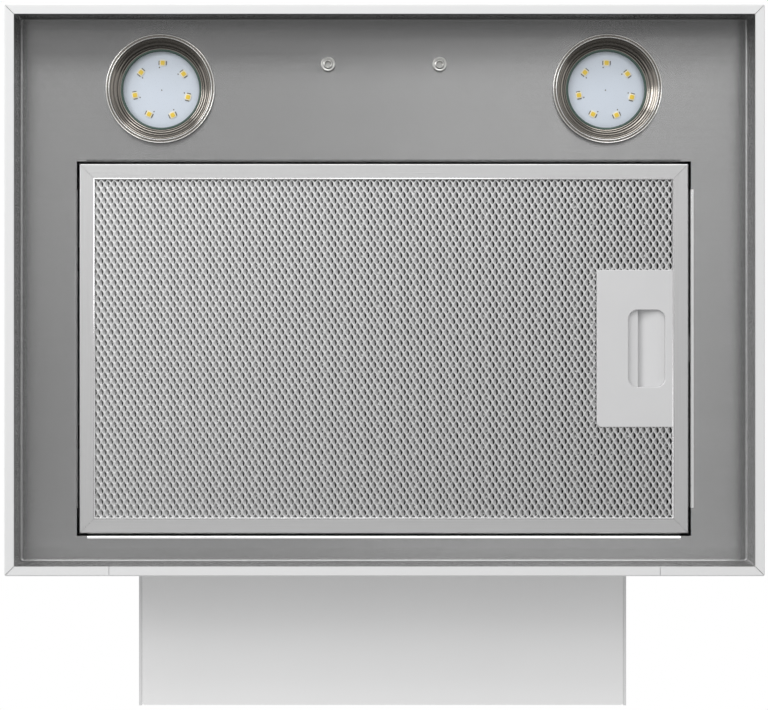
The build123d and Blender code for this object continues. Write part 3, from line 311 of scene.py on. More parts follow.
def stoved_black():
    paint = Paint("motor_paint", IOR=1.5)
    spot = paint.place((1, 1, 1))
    paint.set("Base Color", paint.mix(paint.noise(spot, 60.0), (0.012, 0.012, 0.013), (0.03, 0.03, 0.032)))
    paint.set("Roughness", paint.noise(spot, 300.0) * 0.2 + 0.35)
    paint.bump(paint.noise(spot, 1500.0), 0.3, 0.03 * mm)
    return paint.material


# %% [markdown]
# ## Brushed steel
#
# A belt draws fine scratches along the sheet, thousands to the metre, all in one direction. Each scratch
# is a groove whose sides tilt the surface across the grain and not along it, so a reflection smears into
# a wide band across the grain and stays sharp along it. That is why such a panel looks evenly lit beside
# its left and right walls and falls dark beside its front wall. Three sine waves of different widths, all
# narrower than a pixel, give that spread of slopes evenly. Noise would do it too, but it shows as
# blotches.

# %% Brushed steel
groove_widths_mm = (0.15, 0.20, 0.30)


def brushed(name, low, high, rough, steep):
    """Steel brushed along X. Each wave is sine(2 pi across / width) * width / 2 pi, so its slope is 1.

    Across is Y plus Z, which runs over the panel and also up its front and rear walls. The waves are summed
    in millimetres, and steep is the slope that each is scaled to."""
    paint = Paint(name, Metallic=1.0)
    across = paint.axis("Y") + paint.axis("Z")
    grooves = 0.0
    for width in groove_widths_mm:
        turns = across * (2 * math.pi / (width * mm))
        grooves = turns.maths("SINE", turns) * (width / (2 * math.pi)) + grooves
    grain = paint.noise(paint.place((9, 900, 900)), 1.0, 3.0)
    bands = paint.noise(paint.place((1.2, 40, 40)), 1.0, 2.0)
    streaks = (grain * 0.6 + bands * 0.4).clamped()
    paint.set("Base Color", paint.mix(streaks, low, high))
    paint.set("Roughness", grain * 0.03 + rough)
    paint.bump(grooves, 1.0, steep * mm)
    return paint.material


print("grooves in mm:", groove_widths_mm)

# %% [markdown]
# ## The filter's two aluminiums
#
# The frame is drawn sheet, so its faint lines run along each bar and meet at the mitres. The mesh is
# bright foil. Its material puts painted shade on what lies above the filter's face: the twisted faces of
# the strands a little darker, and the layers behind nearly black. One material does both, because all of
# it is the same foil. It reads how high above the filter's face a point lies.

# %% Frame and foil
# Painted shade: its start above the face and its growth to full, on twisted strands and on layers behind.
twist_shade_from = 0.02 * mm
twist_shade_over = 0.1 * mm
behind_shade_from = 1.6 * mm
behind_shade_over = 0.8 * mm


def satin_frame(half_x, half_y, middle_y):
    """Aluminium drawn along each bar, so the grain turns a corner where two bars are mitred.

    A point is on a side bar where it is nearer to the left or right edge than to the front or rear one."""
    paint = Paint("frame_aluminium", Metallic=1.0)
    x = paint.axis("X")
    to_side = half_x - x.maths("ABSOLUTE", x)
    to_end = half_y - x.maths("ABSOLUTE", paint.axis("Y") - middle_y)
    on_side = x.maths("LESS_THAN", to_side, to_end)
    along_x = paint.noise(paint.place((20, 2600, 2600)), 1.0, 1.0)
    along_y = paint.noise(paint.place((2600, 20, 2600)), 1.0, 1.0)
    grain = along_x * (1 - on_side) + along_y * on_side
    paint.set("Base Color", paint.mix(grain, (0.72, 0.72, 0.72), (0.80, 0.80, 0.80)))
    paint.set("Roughness", grain * 0.10 + 0.38)
    paint.bump(grain, 1.0, 0.05 * mm)
    return paint.material


def filter_foil(face_z):
    """Bright foil on the filter's face. Twisted strand faces get painted shade, the layers behind more.

    Each share is the height above the face, less where it starts, divided by how far it takes to be full."""
    paint = Paint("mesh_aluminium", Metallic=1.0)
    spot = paint.place((1, 1, 1))
    height = paint.axis("Z")
    twist_shade = ((height - (face_z + twist_shade_from)) * (1 / twist_shade_over)).clamped()
    behind = ((height - (face_z + behind_shade_from)) * (1 / behind_shade_over)).clamped()
    cloudy = paint.noise(spot, 80.0)
    face = paint.mix(cloudy, (0.88, 0.88, 0.88), (0.95, 0.95, 0.95))
    # Painted shade: the twisted strand faces are a darker grey than the face.
    strand = paint.mix(twist_shade, face, (0.68, 0.68, 0.68))
    grain = paint.noise(spot, 1200.0)
    # Painted shade: the layers behind are nearly black.
    paint.set("Base Color", paint.mix(behind, strand, (0.06, 0.06, 0.06)))
    paint.set("Roughness", grain * 0.14 + 0.38)
    paint.bump(grain, 0.15, 0.02 * mm)
    return paint.material


print("torn foil from", twist_shade_from / mm, "layers behind from", behind_shade_from / mm, "mm above the face")

# %% [markdown]
# ## Zinc, plating and turned metal
#
# A zinc coat freezes in flat crystals, each a little lighter or darker than the next, which a Voronoi
# pattern gives. Plated and cast pieces have an even, fine texture. The slope of each lamp's trim was
# turned on a lathe and left dark, so it carries fine rings round the lamp's middle: noise that only knows
# the radius.

# %% Galvanised, plated and turned metal


def galvanised():
    paint = Paint("galvanised", Metallic=1.0)
    spot = paint.place((1, 1, 1))
    spangle = paint.node("ShaderNodeTexVoronoi", {"feature": "F1"}, {"Vector": spot, "Scale": 110.0}, "Color")
    grey = paint.node("ShaderNodeSeparateColor", {}, {"Color": spangle})
    paint.set("Base Color", paint.mix(grey, (0.50, 0.51, 0.52), (0.62, 0.63, 0.64)))
    paint.set("Roughness", grey * 0.18 + 0.34)
    paint.bump(paint.noise(spot, 400.0), 0.1, 0.02 * mm)
    return paint.material


def plated(name, colour, rough):
    """Plated or cast metal with a fine even texture."""
    paint = Paint(name, Metallic=1.0)
    spot = paint.place((1, 1, 1))
    grain = paint.noise(spot, 1200.0)
    paint.set("Base Color", paint.mix(paint.noise(spot, 80.0), shade(colour, 0.93), shade(colour, 1.05)))
    paint.set("Roughness", grain * 0.14 + rough)
    paint.bump(grain, 0.15, 0.02 * mm)
    return paint.material


def spun(name, ring, dark, light, rough):
    """Metal turned on a lathe, with a thin dull film. Its noise follows the radius alone, which makes rings.

    The radius is measured from the middle of the ring's box, or from its mirror image across X."""
    paint = Paint(name, Metallic=0.8)
    x = paint.axis("X")
    across = x.maths("ABSOLUTE", x) - abs(ring[0].x + ring[1].x) / 2
    up = paint.axis("Y") - (ring[0].y + ring[1].y) / 2
    radius = x.maths("SQRT", across * across + up * up)
    settings = {"W": radius, "Scale": 900.0, "Detail": 2.0}
    rings = paint.node("ShaderNodeTexNoise", {"noise_dimensions": "1D"}, settings)
    lines = (rings * 2.6 - 0.8).clamped()
    paint.set("Base Color", paint.mix(lines, dark, light))
    paint.set("Roughness", rings * 0.08 + rough)
    paint.bump(rings, 1.0, 0.08 * mm)
    return paint.material


print("metals ready")

# %% [markdown]
# ## Plastics, rubber and glass
#
# Moulded plastic is softer than paint: a fine spark-eroded grain, a soft sheen, and no grain direction.
# Glass that is clear and flat is mostly a mirror of its own: it adds a little of the room to what is
# behind it, and more of it at a glancing angle. So its alpha is the Fresnel share, and its colour a
# mirror's. Both faces mirror, so the front one counts twice and the back one not at all. That lets the
# lamps light what lies behind it, which a refracting glass would shade.

# %% Plastic, rubber, glass and lamp finishes


def moulded(name, colour, rough, relief=0.2):
    paint = Paint(name, IOR=1.46)
    spot = paint.place((1, 1, 1))
    grain = paint.noise(spot, 2200.0)
    paint.set("Base Color", paint.mix(paint.noise(spot, 30.0), shade(colour, 0.97), shade(colour, 1.03)))
    paint.set("Roughness", grain * 0.12 + rough)
    paint.bump(grain, relief, 0.02 * mm)
    return paint.material


def clear_glass():
    paint = Paint("lamp_glass", Metallic=1.0)
    spot = paint.place((1, 1, 1))
    edge_on = paint.node("ShaderNodeFresnel", {}, {"IOR": 1.5})
    behind = paint.node("ShaderNodeNewGeometry", {}, {}, "Backfacing")
    haze = paint.noise(spot, 90.0)
    paint.set("Base Color", paint.mix(haze, (0.93, 0.98, 0.96), (0.96, 1.0, 0.98)))
    paint.set("Roughness", haze * 0.04 + 0.02)
    paint.set("Alpha", (edge_on * 2.0 * (1 - behind)).clamped())
    return paint.material


def board_lacquer():
    paint = Paint("lamp_board_white", IOR=1.5)
    spot = paint.place((1, 1, 1))
    paint.set("Base Color", paint.mix(paint.noise(spot, 60.0), (0.70, 0.76, 0.85), (0.73, 0.79, 0.88)))
    paint.set("Roughness", paint.noise(spot, 400.0) * 0.1 + 0.3)
    paint.bump(paint.noise(spot, 1500.0), 0.1, 0.01 * mm)
    return paint.material


def phosphor():
    paint = Paint("led_yellow", IOR=1.45)
    spot = paint.place((1, 1, 1))
    speck = paint.noise(spot, 2500.0)
    paint.set("Base Color", paint.mix(speck, (0.88, 0.60, 0.015), (0.93, 0.68, 0.03)))
    paint.set("Roughness", speck * 0.1 + 0.35)
    return paint.material


print("plastics and lamp finishes ready")

# %% [markdown]
# ## Handing the finishes out
#
# The CAD record names one finish slot for each piece, and one material is made for each slot. The
# filter's frame and the column's cover get their own. Some pieces that are made below need a finish that
# no slot has, such as the cream cups of the light chips, and these are the variants.

# %% Finishes, slots and variants
filter_face_z = sum(corner.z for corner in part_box("filter_mesh_lower")) / 2 + 0.05 * mm
finishes = {
    "white_paint": white_paint("white_paint", (0.80, 0.805, 0.81), (0.84, 0.84, 0.84)),
    "brushed_panel": brushed("brushed_panel", (0.41, 0.41, 0.41), (0.44, 0.44, 0.44), 0.24, 0.55),
    "galvanised": galvanised(),
    "polished_ring": plated("polished_ring", (0.80, 0.79, 0.77), 0.14),
    "lamp_glass": clear_glass(),
    "lamp_board_white": board_lacquer(),
    "led_yellow": phosphor(),
    "mesh_aluminium": filter_foil(filter_face_z),
    "cast_aluminium": plated("cast_aluminium", (0.55, 0.55, 0.56), 0.45),
    "silver_plastic": moulded("silver_plastic", (0.68, 0.68, 0.685), 0.42),
    "white_plastic": moulded("white_plastic", (0.78, 0.78, 0.77), 0.30),
    "grey_plastic": moulded("grey_plastic", (0.13, 0.135, 0.14), 0.45),
    "black_plastic": moulded("black_plastic", (0.014, 0.014, 0.015), 0.40),
    "zinc_steel": plated("zinc_steel", (0.62, 0.62, 0.60), 0.28),
    "motor_paint": stoved_black(),
    "motor_iron": plated("motor_iron", (0.20, 0.19, 0.18), 0.5),
    "black_rubber": moulded("black_rubber", (0.02, 0.02, 0.02), 0.7, 0.4),
}
for part in frame["record"]["subparts"]:
    mesh = nodes[part["node"]].data
    mesh.materials.clear()
    mesh.materials.append(finishes[part["material_slot"]])
frame_low, frame_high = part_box("filter_frame")
filter_middle_y = (frame_low.y + frame_high.y) / 2
half_frame_x = frame_high.x
half_frame_y = (frame_high.y - frame_low.y) / 2
nodes["filter_frame"].data.materials[0] = satin_frame(half_frame_x, half_frame_y, filter_middle_y)
# The cover gets the white paint made whiter: painted light that lifts the column's cover.
painted_light_cover = white_paint("painted_light_cover", (0.93, 0.93, 0.93), (0.96, 0.96, 0.96))
nodes["chimney_bottom_cover"].data.materials[0] = painted_light_cover
turned_dark = (0.09, 0.083, 0.075)
turned_light = (0.40, 0.37, 0.33)
variants = {
    # Polished metal much brighter than the panel's and the frame's: painted highlight on the bends and hem.
    "painted_highlight_fold": plated("painted_highlight_fold", (0.95, 0.95, 0.95), 0.10),
    "trim_slope": spun("trim_slope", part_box("lamp_ring_left"), turned_dark, turned_light, 0.13),
    "glass_edge": moulded("glass_edge", (0.06, 0.10, 0.085), 0.15, 0.05),
    "chip_body": moulded("chip_body", (0.93, 0.86, 0.66), 0.35, 0.1),
    "chip_mark": moulded("chip_mark", (0.10, 0.085, 0.06), 0.4, 0.1),
}
print("finishes:", len(finishes), "variants:", len(variants))

# %% [markdown]
# ## Two ways to make a surface
#
# Every new piece below is a grid of points. A turned piece carries a profile round an axis, and a folded
# strip carries it along a line. Both are one array sum, and one function turns the grid into a mesh.

# %% Grid helpers


def new_piece(name, points, faces, slot, body, sharp=35, variant=None):
    """A mesh at the origin, shaded smooth with sharp folds, with a slot's finish or a variant, on a body."""
    mesh = bpy.data.meshes.new(name)
    mesh.from_pydata(np.reshape(points, (-1, 3)).tolist(), [], faces)
    mesh.validate()
    mesh.shade_smooth()
    mesh.set_sharp_from_angle(angle=math.radians(sharp))
    mesh.materials.append(variants[variant] if variant else finishes[slot])
    piece = bpy.data.objects.new(name, mesh)
    bpy.context.scene.collection.objects.link(piece)
    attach(piece, body)
    return piece


def grid_faces(rows, columns, wrap_rows=False, wrap_columns=False):
    """Quads between neighbours of a rows by columns grid, numbered row by row."""
    last_row = rows if wrap_rows else rows - 1
    last_column = columns if wrap_columns else columns - 1
    i, j = np.meshgrid(np.arange(last_row), np.arange(last_column), indexing="ij")
    i2, j2 = (i + 1) % rows, (j + 1) % columns
    quads = np.stack([i * columns + j, i * columns + j2, i2 * columns + j2, i2 * columns + j], -1)
    return quads.reshape(-1, 4)


def turned(profile, centre, steps=96):
    """A closed profile of (radius, height) points turned about an upright axis through centre.

    A point is the centre plus radius times (cosine, sine) of the angle, at its own height. The profile
    runs outward along its top, down its outside and back below."""
    profile = np.asarray(profile, float)
    angle = np.linspace(0, 2 * np.pi, steps, endpoint=False)[:, None]
    x = centre[0] + profile[None, :, 0] * np.cos(angle)
    y = centre[1] + profile[None, :, 0] * np.sin(angle)
    z = np.broadcast_to(profile[None, :, 1], x.shape)
    return np.stack([x, y, z], -1), grid_faces(steps, len(profile), True, True).tolist()


def turned_solid(profile, centre, steps=64):
    """The same for a piece that has no hole: its profile starts and ends on the axis, at two poles."""
    profile = np.asarray(profile, float)
    points, _ = turned(profile[1:-1], centre, steps)
    count = len(profile) - 2
    first, last = steps * count, steps * count + 1
    poles = [[centre[0], centre[1], profile[0, 1]], [centre[0], centre[1], profile[-1, 1]]]
    row = np.arange(steps) * count
    following = np.roll(row, -1)
    faces = grid_faces(steps, count, True, False).tolist()
    faces += np.stack([np.full(steps, first), row, following], -1).tolist()
    faces += np.stack([row + count - 1, np.full(steps, last), following + count - 1], -1).tolist()
    return np.vstack([points.reshape(-1, 3), poles]), faces


def joined(solids):
    """Several (points, faces) pairs as one pair."""
    points, faces, start = [], [], 0
    for some_points, some_faces in solids:
        flat = np.reshape(some_points, (-1, 3))
        points.append(flat)
        faces += [[start + corner for corner in face] for face in some_faces]
        start += len(flat)
    return np.vstack(points), faces


def arc(centre, radius, start, end, count):
    """Points on a circular arc in a profile's plane, from one angle in degrees to another."""
    angle = np.radians(np.linspace(start, end, count))
    return np.stack([centre[0] + radius * np.cos(angle), centre[1] + radius * np.sin(angle)], -1)


print("helpers ready")

# %% [markdown]
# ## The expanded mesh
#
# The grease filter is filled with expanded aluminium: foil that is slit in rows like brickwork and pulled
# sideways until each slit opens into an almond shaped hole. The strands between the holes twist as they
# open, so each lies slanted. A picture of holes would look flat, and a modelled strand of its own for
# each side would be slow. Instead one cell is worked out, a diamond with a hole in it, and the diamonds
# tile the sheet. The strand twists inside the hole: from the hole's left side its broad face runs inward,
# deeper into the filter, and only the right part of the hole is open to the layer behind. That face looks
# grey, partly from its slant and partly from painted shade in the foil's material.

# %% Expanded sheet
cell_width = 4.42 * mm
cell_rise = 3.68 * mm
hole_half_width = 1.56 * mm
hole_half_height = 2.36 * mm
hole_power = 1.25
lip_width = 2.1 * mm
lip_depth = 1.1 * mm
lip_least = 0.06
foil = 0.3 * mm


def zigzag(share):
    """A cosine made of straight lines: 1, 0, -1 and 0 at each quarter of the way round."""
    return 4 * np.abs(np.mod(share, 1.0) - 0.5) - 1


def cell(steps):
    """One cell as four rings: lower outside, lower hole edge, lip and upper outside.

    The outside is a diamond, and the hole is an ellipse drawn in a little towards a diamond. The lip is the
    hole's edge moved right and up. Its move grows from almost nothing at the right end to all at the left."""
    share = np.arange(steps) / steps
    outer = np.stack([zigzag(share) * cell_width / 2, zigzag(share - 0.25) * cell_rise], -1)
    angle = 2 * np.pi * share
    wave = np.stack([np.cos(angle), np.sin(angle)], -1)
    hole = np.sign(wave) * np.abs(wave) ** hole_power * (hole_half_width, hole_half_height)
    twist = np.maximum((1 - np.cos(angle)) / 2, lip_least)
    lip = hole * np.stack([np.ones(steps), 1 - 0.25 * twist], -1)
    lip[:, 0] += lip_width * twist ** 2
    rings = []
    for flat, height in ((outer, -foil / 2), (hole, -foil / 2), (lip, lip_depth * twist), (outer, foil / 2)):
        rings.append(np.column_stack([flat, np.broadcast_to(height, steps)]))
    return np.stack(rings)


print("cell in mm:", cell_width / mm, "by", 2 * cell_rise / mm, "corners:", cell(16).shape)

# %% [markdown]
# ## Tiling the cells
#
# Copies of the cell are added to an array of centres in staggered rows. Neighbours share their outlines,
# so points that lie together are welded into one, and an edge that only one cell has is the sheet's own
# edge, which gets a wall. Real foil is never pulled quite evenly, so slow waves bend the finished sheet.

# %% Tiled sheet
weld = 0.001 * mm


def cells_at(centres, steps):
    """Cells moved to their centres and welded, with the sheet's outer edge closed."""
    points = (centres[:, None, None, :] + cell(steps)[None]).reshape(-1, 3)
    one = grid_faces(4, steps, False, True)[:, ::-1]
    faces = (one[None] + (np.arange(len(centres)) * 4 * steps)[:, None, None]).reshape(-1, 4)
    rounded = np.round(points / weld).astype(int)
    _, first, welded = np.unique(rounded, axis=0, return_index=True, return_inverse=True)
    welded = welded.reshape(-1)
    faces = welded[faces]
    ring = np.arange(steps)
    start = (np.arange(len(centres)) * 4 * steps)[:, None]
    following = np.roll(ring, -1)
    low_edges = np.stack([welded[start + ring], welded[start + following]], -1).reshape(-1, 2)
    top = start + 3 * steps
    high_edges = np.stack([welded[top + ring], welded[top + following]], -1).reshape(-1, 2)
    _, back, counts = np.unique(np.sort(low_edges, 1), axis=0, return_inverse=True, return_counts=True)
    rim = counts[back.reshape(-1)] == 1
    walls = np.column_stack([low_edges[rim], high_edges[rim][:, ::-1]])
    return points[first], np.vstack([faces, walls])


def sheet_centres(half_x, half_y, quarter_turn):
    """Cell centres in staggered rows over a rectangle, or over its quarter turn."""
    if quarter_turn:
        half_x, half_y = half_y, half_x
    columns = int(half_x // cell_width)
    rows = int(half_y // cell_rise) - 1
    i, j = np.meshgrid(np.arange(-columns, columns + 1), np.arange(-rows, rows + 1), indexing="ij")
    x = (i + 0.5 * np.mod(j, 2)) * cell_width
    flat = np.stack([x, j * cell_rise], -1).reshape(-1, 2)
    return flat[np.abs(flat[:, 0]) < half_x - cell_width / 2]


def warped(points, reach):
    """A smooth unevenness of the pulled sheet: slow waves of each coordinate along the other one."""
    x, y = points[:, 0].copy(), points[:, 1].copy()
    points[:, 0] = x + reach * np.sin(y / (31 * mm) + 1.3) + 0.6 * reach * np.sin(x / (47 * mm))
    points[:, 1] = y + reach * np.sin(x / (38 * mm) + 0.4) + 0.5 * reach * np.sin(y / (21 * mm) + 2.0)
    return points


print("weld in mm:", weld / mm)

# %% [markdown]
# ## Three layers
#
# The cassette holds a sheet on each face and a crumpled one between them, a quarter turn round, so that
# what shows in the holes never repeats. Each layer is made in strips, because a mesh of a million
# triangles is slow to open, and it leaves out the cells under the handle's plate.

# %% Layers of the filter
handle_low, handle_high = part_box("handle_plate")
sheet_low, sheet_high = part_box("filter_mesh_lower")
sheet_half_x = sheet_high.x
sheet_half_y = (sheet_high.y - sheet_low.y) / 2
overlap_x = 0.5 * mm
overlap_y = 1.5 * mm
crumple_pitch = 12 * mm


def expanded_sheet(name, middle_z, node, steps, quarter_turn, parts, reach, wave=0.0):
    """One layer of the filter, cut round the handle, made in a few strips.

    It is warped by reach, and lifted by wave times the sine of X over the crumple's pitch."""
    flat = sheet_centres(sheet_half_x, sheet_half_y, quarter_turn)
    order = np.argsort(flat[:, 1] if quarter_turn else flat[:, 0], kind="stable")
    x, y = (flat[:, 1], flat[:, 0]) if quarter_turn else (flat[:, 0], flat[:, 1])
    under = (x > handle_low.x + overlap_x) & (y + filter_middle_y > handle_low.y + overlap_y)
    under &= y + filter_middle_y < handle_high.y - overlap_y
    flat = flat[order][~under[order]]
    centres = np.column_stack([flat, np.zeros(len(flat))])
    for number, strip in enumerate(np.array_split(centres, parts), start=1):
        points, faces = cells_at(strip, steps)
        if quarter_turn:
            points = points[:, [1, 0, 2]] * (1, 1, -1)
        points = warped(points, reach)
        points[:, 2] += middle_z + wave * np.sin(points[:, 0] * 2 * np.pi / crumple_pitch)
        points[:, 1] += filter_middle_y
        piece = new_piece(f"{name}_{number}", points, faces.tolist(), "mesh_aluminium", "filter", 60)
        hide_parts(node)
    print(name, "cells:", len(centres), "triangles a strip:", 2 * len(faces))


lower_z = (sheet_low.z + sheet_high.z) / 2 + 0.2 * mm
inner_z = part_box("filter_mesh_core")[0].z + 2.2 * mm
upper_z = sum(corner.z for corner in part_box("filter_mesh_upper")) / 2 - 0.2 * mm
expanded_sheet("lower_mesh", lower_z, "filter_mesh_lower", 16, False, 3, 0.12 * mm)
expanded_sheet("inner_mesh", inner_z, "filter_mesh_core", 8, True, 2, 0.35 * mm, 0.35 * mm)
expanded_sheet("upper_mesh", upper_z, "filter_mesh_upper", 8, False, 2, 0.5 * mm)

# %% [markdown]
# ## The filter frame's hem
#
# The frame is a folded aluminium channel. Where its lower flange meets the mesh the sheet is folded back on
# itself, so the edge that the eye sees is round and carries a thin bright line. The line is partly its
# round shape and partly painted highlight, from a metal much brighter than the frame's. It is a small
# round profile carried round the rectangle, with its corners mitred.

# %% Frame hem
flange_width = 10.4 * mm
hem_r = 0.55 * mm


def carried_round(profile, half_x, half_y, middle_y):
    """A closed profile of (inset, height) points carried round a rectangle, mitred in its corners."""
    profile = np.asarray(profile, float)
    sides = np.array([(-1, -1), (1, -1), (1, 1), (-1, 1)])
    x = sides[:, 0, None] * (half_x - profile[None, :, 0])
    y = middle_y + sides[:, 1, None] * (half_y - profile[None, :, 0])
    z = np.broadcast_to(profile[None, :, 1], x.shape)
    return np.stack([x, y, z], -1), grid_faces(4, len(profile), True, True)


hem_centre = (flange_width - 0.3 * mm, frame_low.z + 0.25 * mm)
hem_profile = arc(hem_centre, hem_r, 0, 337.5, 16)
hem_points, hem_faces = carried_round(hem_profile, half_frame_x, half_frame_y, filter_middle_y)
# The hem's brighter metal paints part of its thin bright line as a highlight.
new_piece("frame_hem", hem_points, hem_faces[:, ::-1].tolist(), "mesh_aluminium", "filter", 60, "painted_highlight_fold")
print("hem faces:", len(hem_faces))

# %% [markdown]
# ## The folded edges of the cut-out
#
# The panel's cut-out has its four edges bent up into the hood, except in the corners. The right and rear
# bends look towards the lamps, and there a nearly white line shows. These two strips are polished, and
# their metal is much brighter than the panel's steel, which paints that line as a highlight. Each is a
# quarter arc with a thin back, carried straight along its edge and closed at both ends.

# %% Bent edges
bend_r = 2.2 * mm
gap = 1.3 * mm
corner_x = 6.6 * mm
corner_y = 18.4 * mm
proud = 0.02 * mm
strip_t = 0.2 * mm
cut_half_x = half_frame_x + gap
cut_half_y = half_frame_y + gap
panel_z = rim_z + 22 * mm


def bent_edge(half_length, distance):
    """A strip along X with its bend towards +Y, at a distance from the origin."""
    centre = (distance + bend_r, panel_z + bend_r)
    outside = arc(centre, bend_r + proud, 182, 270, 9)
    inside = arc(centre, bend_r - strip_t, 270, 182, 9)
    profile = np.vstack([outside, inside])
    ends = []
    for x in (-half_length, half_length):
        ends.append(np.column_stack([np.full(len(profile), x), profile]))
    count = len(profile)
    caps = [list(range(count)), list(range(2 * count - 1, count - 1, -1))]
    return np.stack(ends), grid_faces(2, count, False, True).tolist() + caps


def turned_strip(strip, turn):
    """The strip turned about the middle of the filter, in quarter turns."""
    points, faces = strip
    c, s = round(math.cos(turn * math.pi / 2)), round(math.sin(turn * math.pi / 2))
    x, y = points[..., 0], points[..., 1]
    return np.stack([x * c - y * s, x * s + y * c + filter_middle_y, points[..., 2]], -1), faces


long_strip = bent_edge(cut_half_x - corner_x, cut_half_y)
short_strip = bent_edge(cut_half_y - corner_y, cut_half_x)
strips = [turned_strip(long_strip, 0), turned_strip(short_strip, 3)]
fold_points, fold_faces = joined(strips)
# The strips' brighter metal paints the white line on the bends as a highlight.
new_piece("cutout_folds", fold_points, fold_faces, "brushed_panel", "hood", 60, "painted_highlight_fold")
print("fold strips:", len(strips))

# %% [markdown]
# ## The lamps
#
# Each lamp is a small flat disc with a metal trim. Its outer bead is rolled over the panel with two fine
# ridges, a step leads to a darker slope that narrows towards the glass, and the glass's thick ground edge
# shows as a dark green line. All of it is turned, so each piece is one profile. The bead is polished and the
# slope still shows the marks of its turning, which is why they are two pieces.

# %% Lamp trim, glass and board
slope_outer_r = 34.0 * mm
slope_inner_r = 27.4 * mm
slope_rise = 5.1 * mm
slope_wave = 0.06 * mm
outer_ridge = 0.5 * mm
inner_ridge = 0.42 * mm
inner_ridge_r = slope_outer_r + 0.45 * mm
lip_r = 26.6 * mm
land_r = 33.5 * mm
glass_flat_r = 22.5 * mm
glass_edge_t = 0.9 * mm
board_face_r = 26.9 * mm
board_edge = 0.2 * mm


def lamp_bead(side, x, y):
    """Two round ridges, one at the outer edge and a finer one beside the step."""
    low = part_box(f"lamp_ring_{side}")[0].z
    outer_r = (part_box(f"lamp_ring_{side}")[1].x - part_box(f"lamp_ring_{side}")[0].x) / 2
    ridges = []
    for middle_r, ridge in ((outer_r - outer_ridge, outer_ridge), (inner_ridge_r, inner_ridge)):
        ridges.append(turned(arc((middle_r, low + ridge), ridge, 0, -330, 12), (x, y), 128))
    return joined(ridges)


def lamp_slope(side, x, y):
    """A slope with shallow waves, then the lip that holds the glass, and a flat land behind the ridges.

    The slope's height grows inward from the step by its rise, plus a wave with nine half turns."""
    low, high = (corner.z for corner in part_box(f"lamp_ring_{side}"))
    outer_r = (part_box(f"lamp_ring_{side}")[1].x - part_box(f"lamp_ring_{side}")[0].x) / 2
    land_outer_r = outer_r - 0.3 * mm
    radius = np.linspace(slope_outer_r, slope_inner_r, 33)
    share = (radius - radius[-1]) / (radius[0] - radius[-1])
    height = low + 0.6 * mm + (1 - share) * slope_rise + slope_wave * np.sin(share * 9 * np.pi)
    lip = [(lip_r, height[-1] + 0.1 * mm), (lip_r, high), (land_r, high)]
    land = [(land_r, panel_z), (land_outer_r, panel_z), (land_outer_r, low + 0.5 * mm)]
    return turned(np.vstack([np.column_stack([radius, height]), lip, land]), (x, y), 128)


def lamp_glass(side, x, y):
    """A clear disc whose face falls away towards its rim, by half a cosine."""
    low, high = (corner.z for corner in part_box(f"lamp_lens_{side}"))
    outer_r = (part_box(f"lamp_lens_{side}")[1].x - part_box(f"lamp_lens_{side}")[0].x) / 2
    dome_r = np.linspace(outer_r, glass_flat_r, 11)
    share = (dome_r[0] - dome_r) / (dome_r[0] - dome_r[-1])
    dome = np.column_stack([dome_r, low + 0.35 * mm * (1 + np.cos(np.pi * share))])
    profile = np.vstack([[(0, high), (outer_r, high)], dome, [(0, low)]])
    return turned_solid(profile, (x, y), 96)


def glass_edge(side, x, y):
    """The thick edge of the glass, a round line where the slope ends."""
    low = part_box(f"lamp_lens_{side}")[0].z
    return turned(arc((slope_inner_r - glass_edge_t, low), glass_edge_t, 180, -150, 12), (x, y), 96)


def lamp_board_face(side, x, y):
    """The lacquered board, a disc with a rounded edge."""
    low, high = (corner.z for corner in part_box(f"lamp_board_{side}"))
    edge = arc((board_face_r - board_edge, low + board_edge), board_edge, 0, -90, 5)
    return turned_solid(np.vstack([[(0, high), (board_face_r, high)], edge, [(0, low)]]), (x, y), 96)


print("lamp slope in mm: from", round(slope_outer_r / mm, 1), "to", round(slope_inner_r / mm, 1))

# %% [markdown]
# ## The light chips
#
# Seven chips sit in a ring on each board. A chip is a cream plastic cup filled with yellow phosphor, with a
# soldered foot at each end, and beside it the board shows a small round test point. Each is a flat pad with
# rounded corners, so one function makes them all: a superellipse, which is a circle or a rounded rectangle
# depending on its power, in three rings with a cap.

# %% Pads on the board
chip_count = 7
chip_ring_r = 18.4 * mm
chip_start = -88.0
chip_turn = 360 / chip_count
body_size = (4.3 * mm, 4.3 * mm)
body_height = 0.55 * mm
fill_size = (2.9 * mm, 2.9 * mm)
fill_height = 0.12 * mm
foot_size = (2.9 * mm, 0.7 * mm)
foot_height = 0.25 * mm
foot_off = 2.45 * mm
dot_size = (0.9 * mm, 0.9 * mm)
dot_height = 0.05 * mm
dot_place = (chip_ring_r - 3.1 * mm, -2.1 * mm)


def pads(x, y, offset, size, base_z, height, square, angles):
    """Raised pads round a centre, one at each angle, each at the same offset in its own turned axes.

    The outline is (sign times |cosine| to a power, and the same of the sine), times half the size. The
    first ring lies on the board, the second is the shoulder, and the third is the cap, drawn in a little."""
    turn = np.linspace(0, 2 * np.pi, 16, endpoint=False)
    wave = np.stack([np.cos(turn), np.sin(turn)], -1)
    outline = np.sign(wave) * np.abs(wave) ** square * np.array(size) / 2
    rings = []
    for shrink, share in ((1.0, 0.0), (1.0, 0.75), (0.9, 1.0)):
        rings.append(np.column_stack([outline * shrink + offset, np.full(16, base_z - share * height)]))
    one = np.stack(rings)
    solids = []
    cap = [list(range(32, 48)), list(range(15, -1, -1))]
    walls = grid_faces(3, 16, False, True).tolist()
    for angle in np.radians(angles):
        c, s = np.cos(angle), np.sin(angle)
        pad_x = one[..., 0] * c - one[..., 1] * s + x
        pad_y = one[..., 0] * s + one[..., 1] * c + y
        solids.append((np.stack([pad_x, pad_y, one[..., 2]], -1), walls + cap))
    return solids


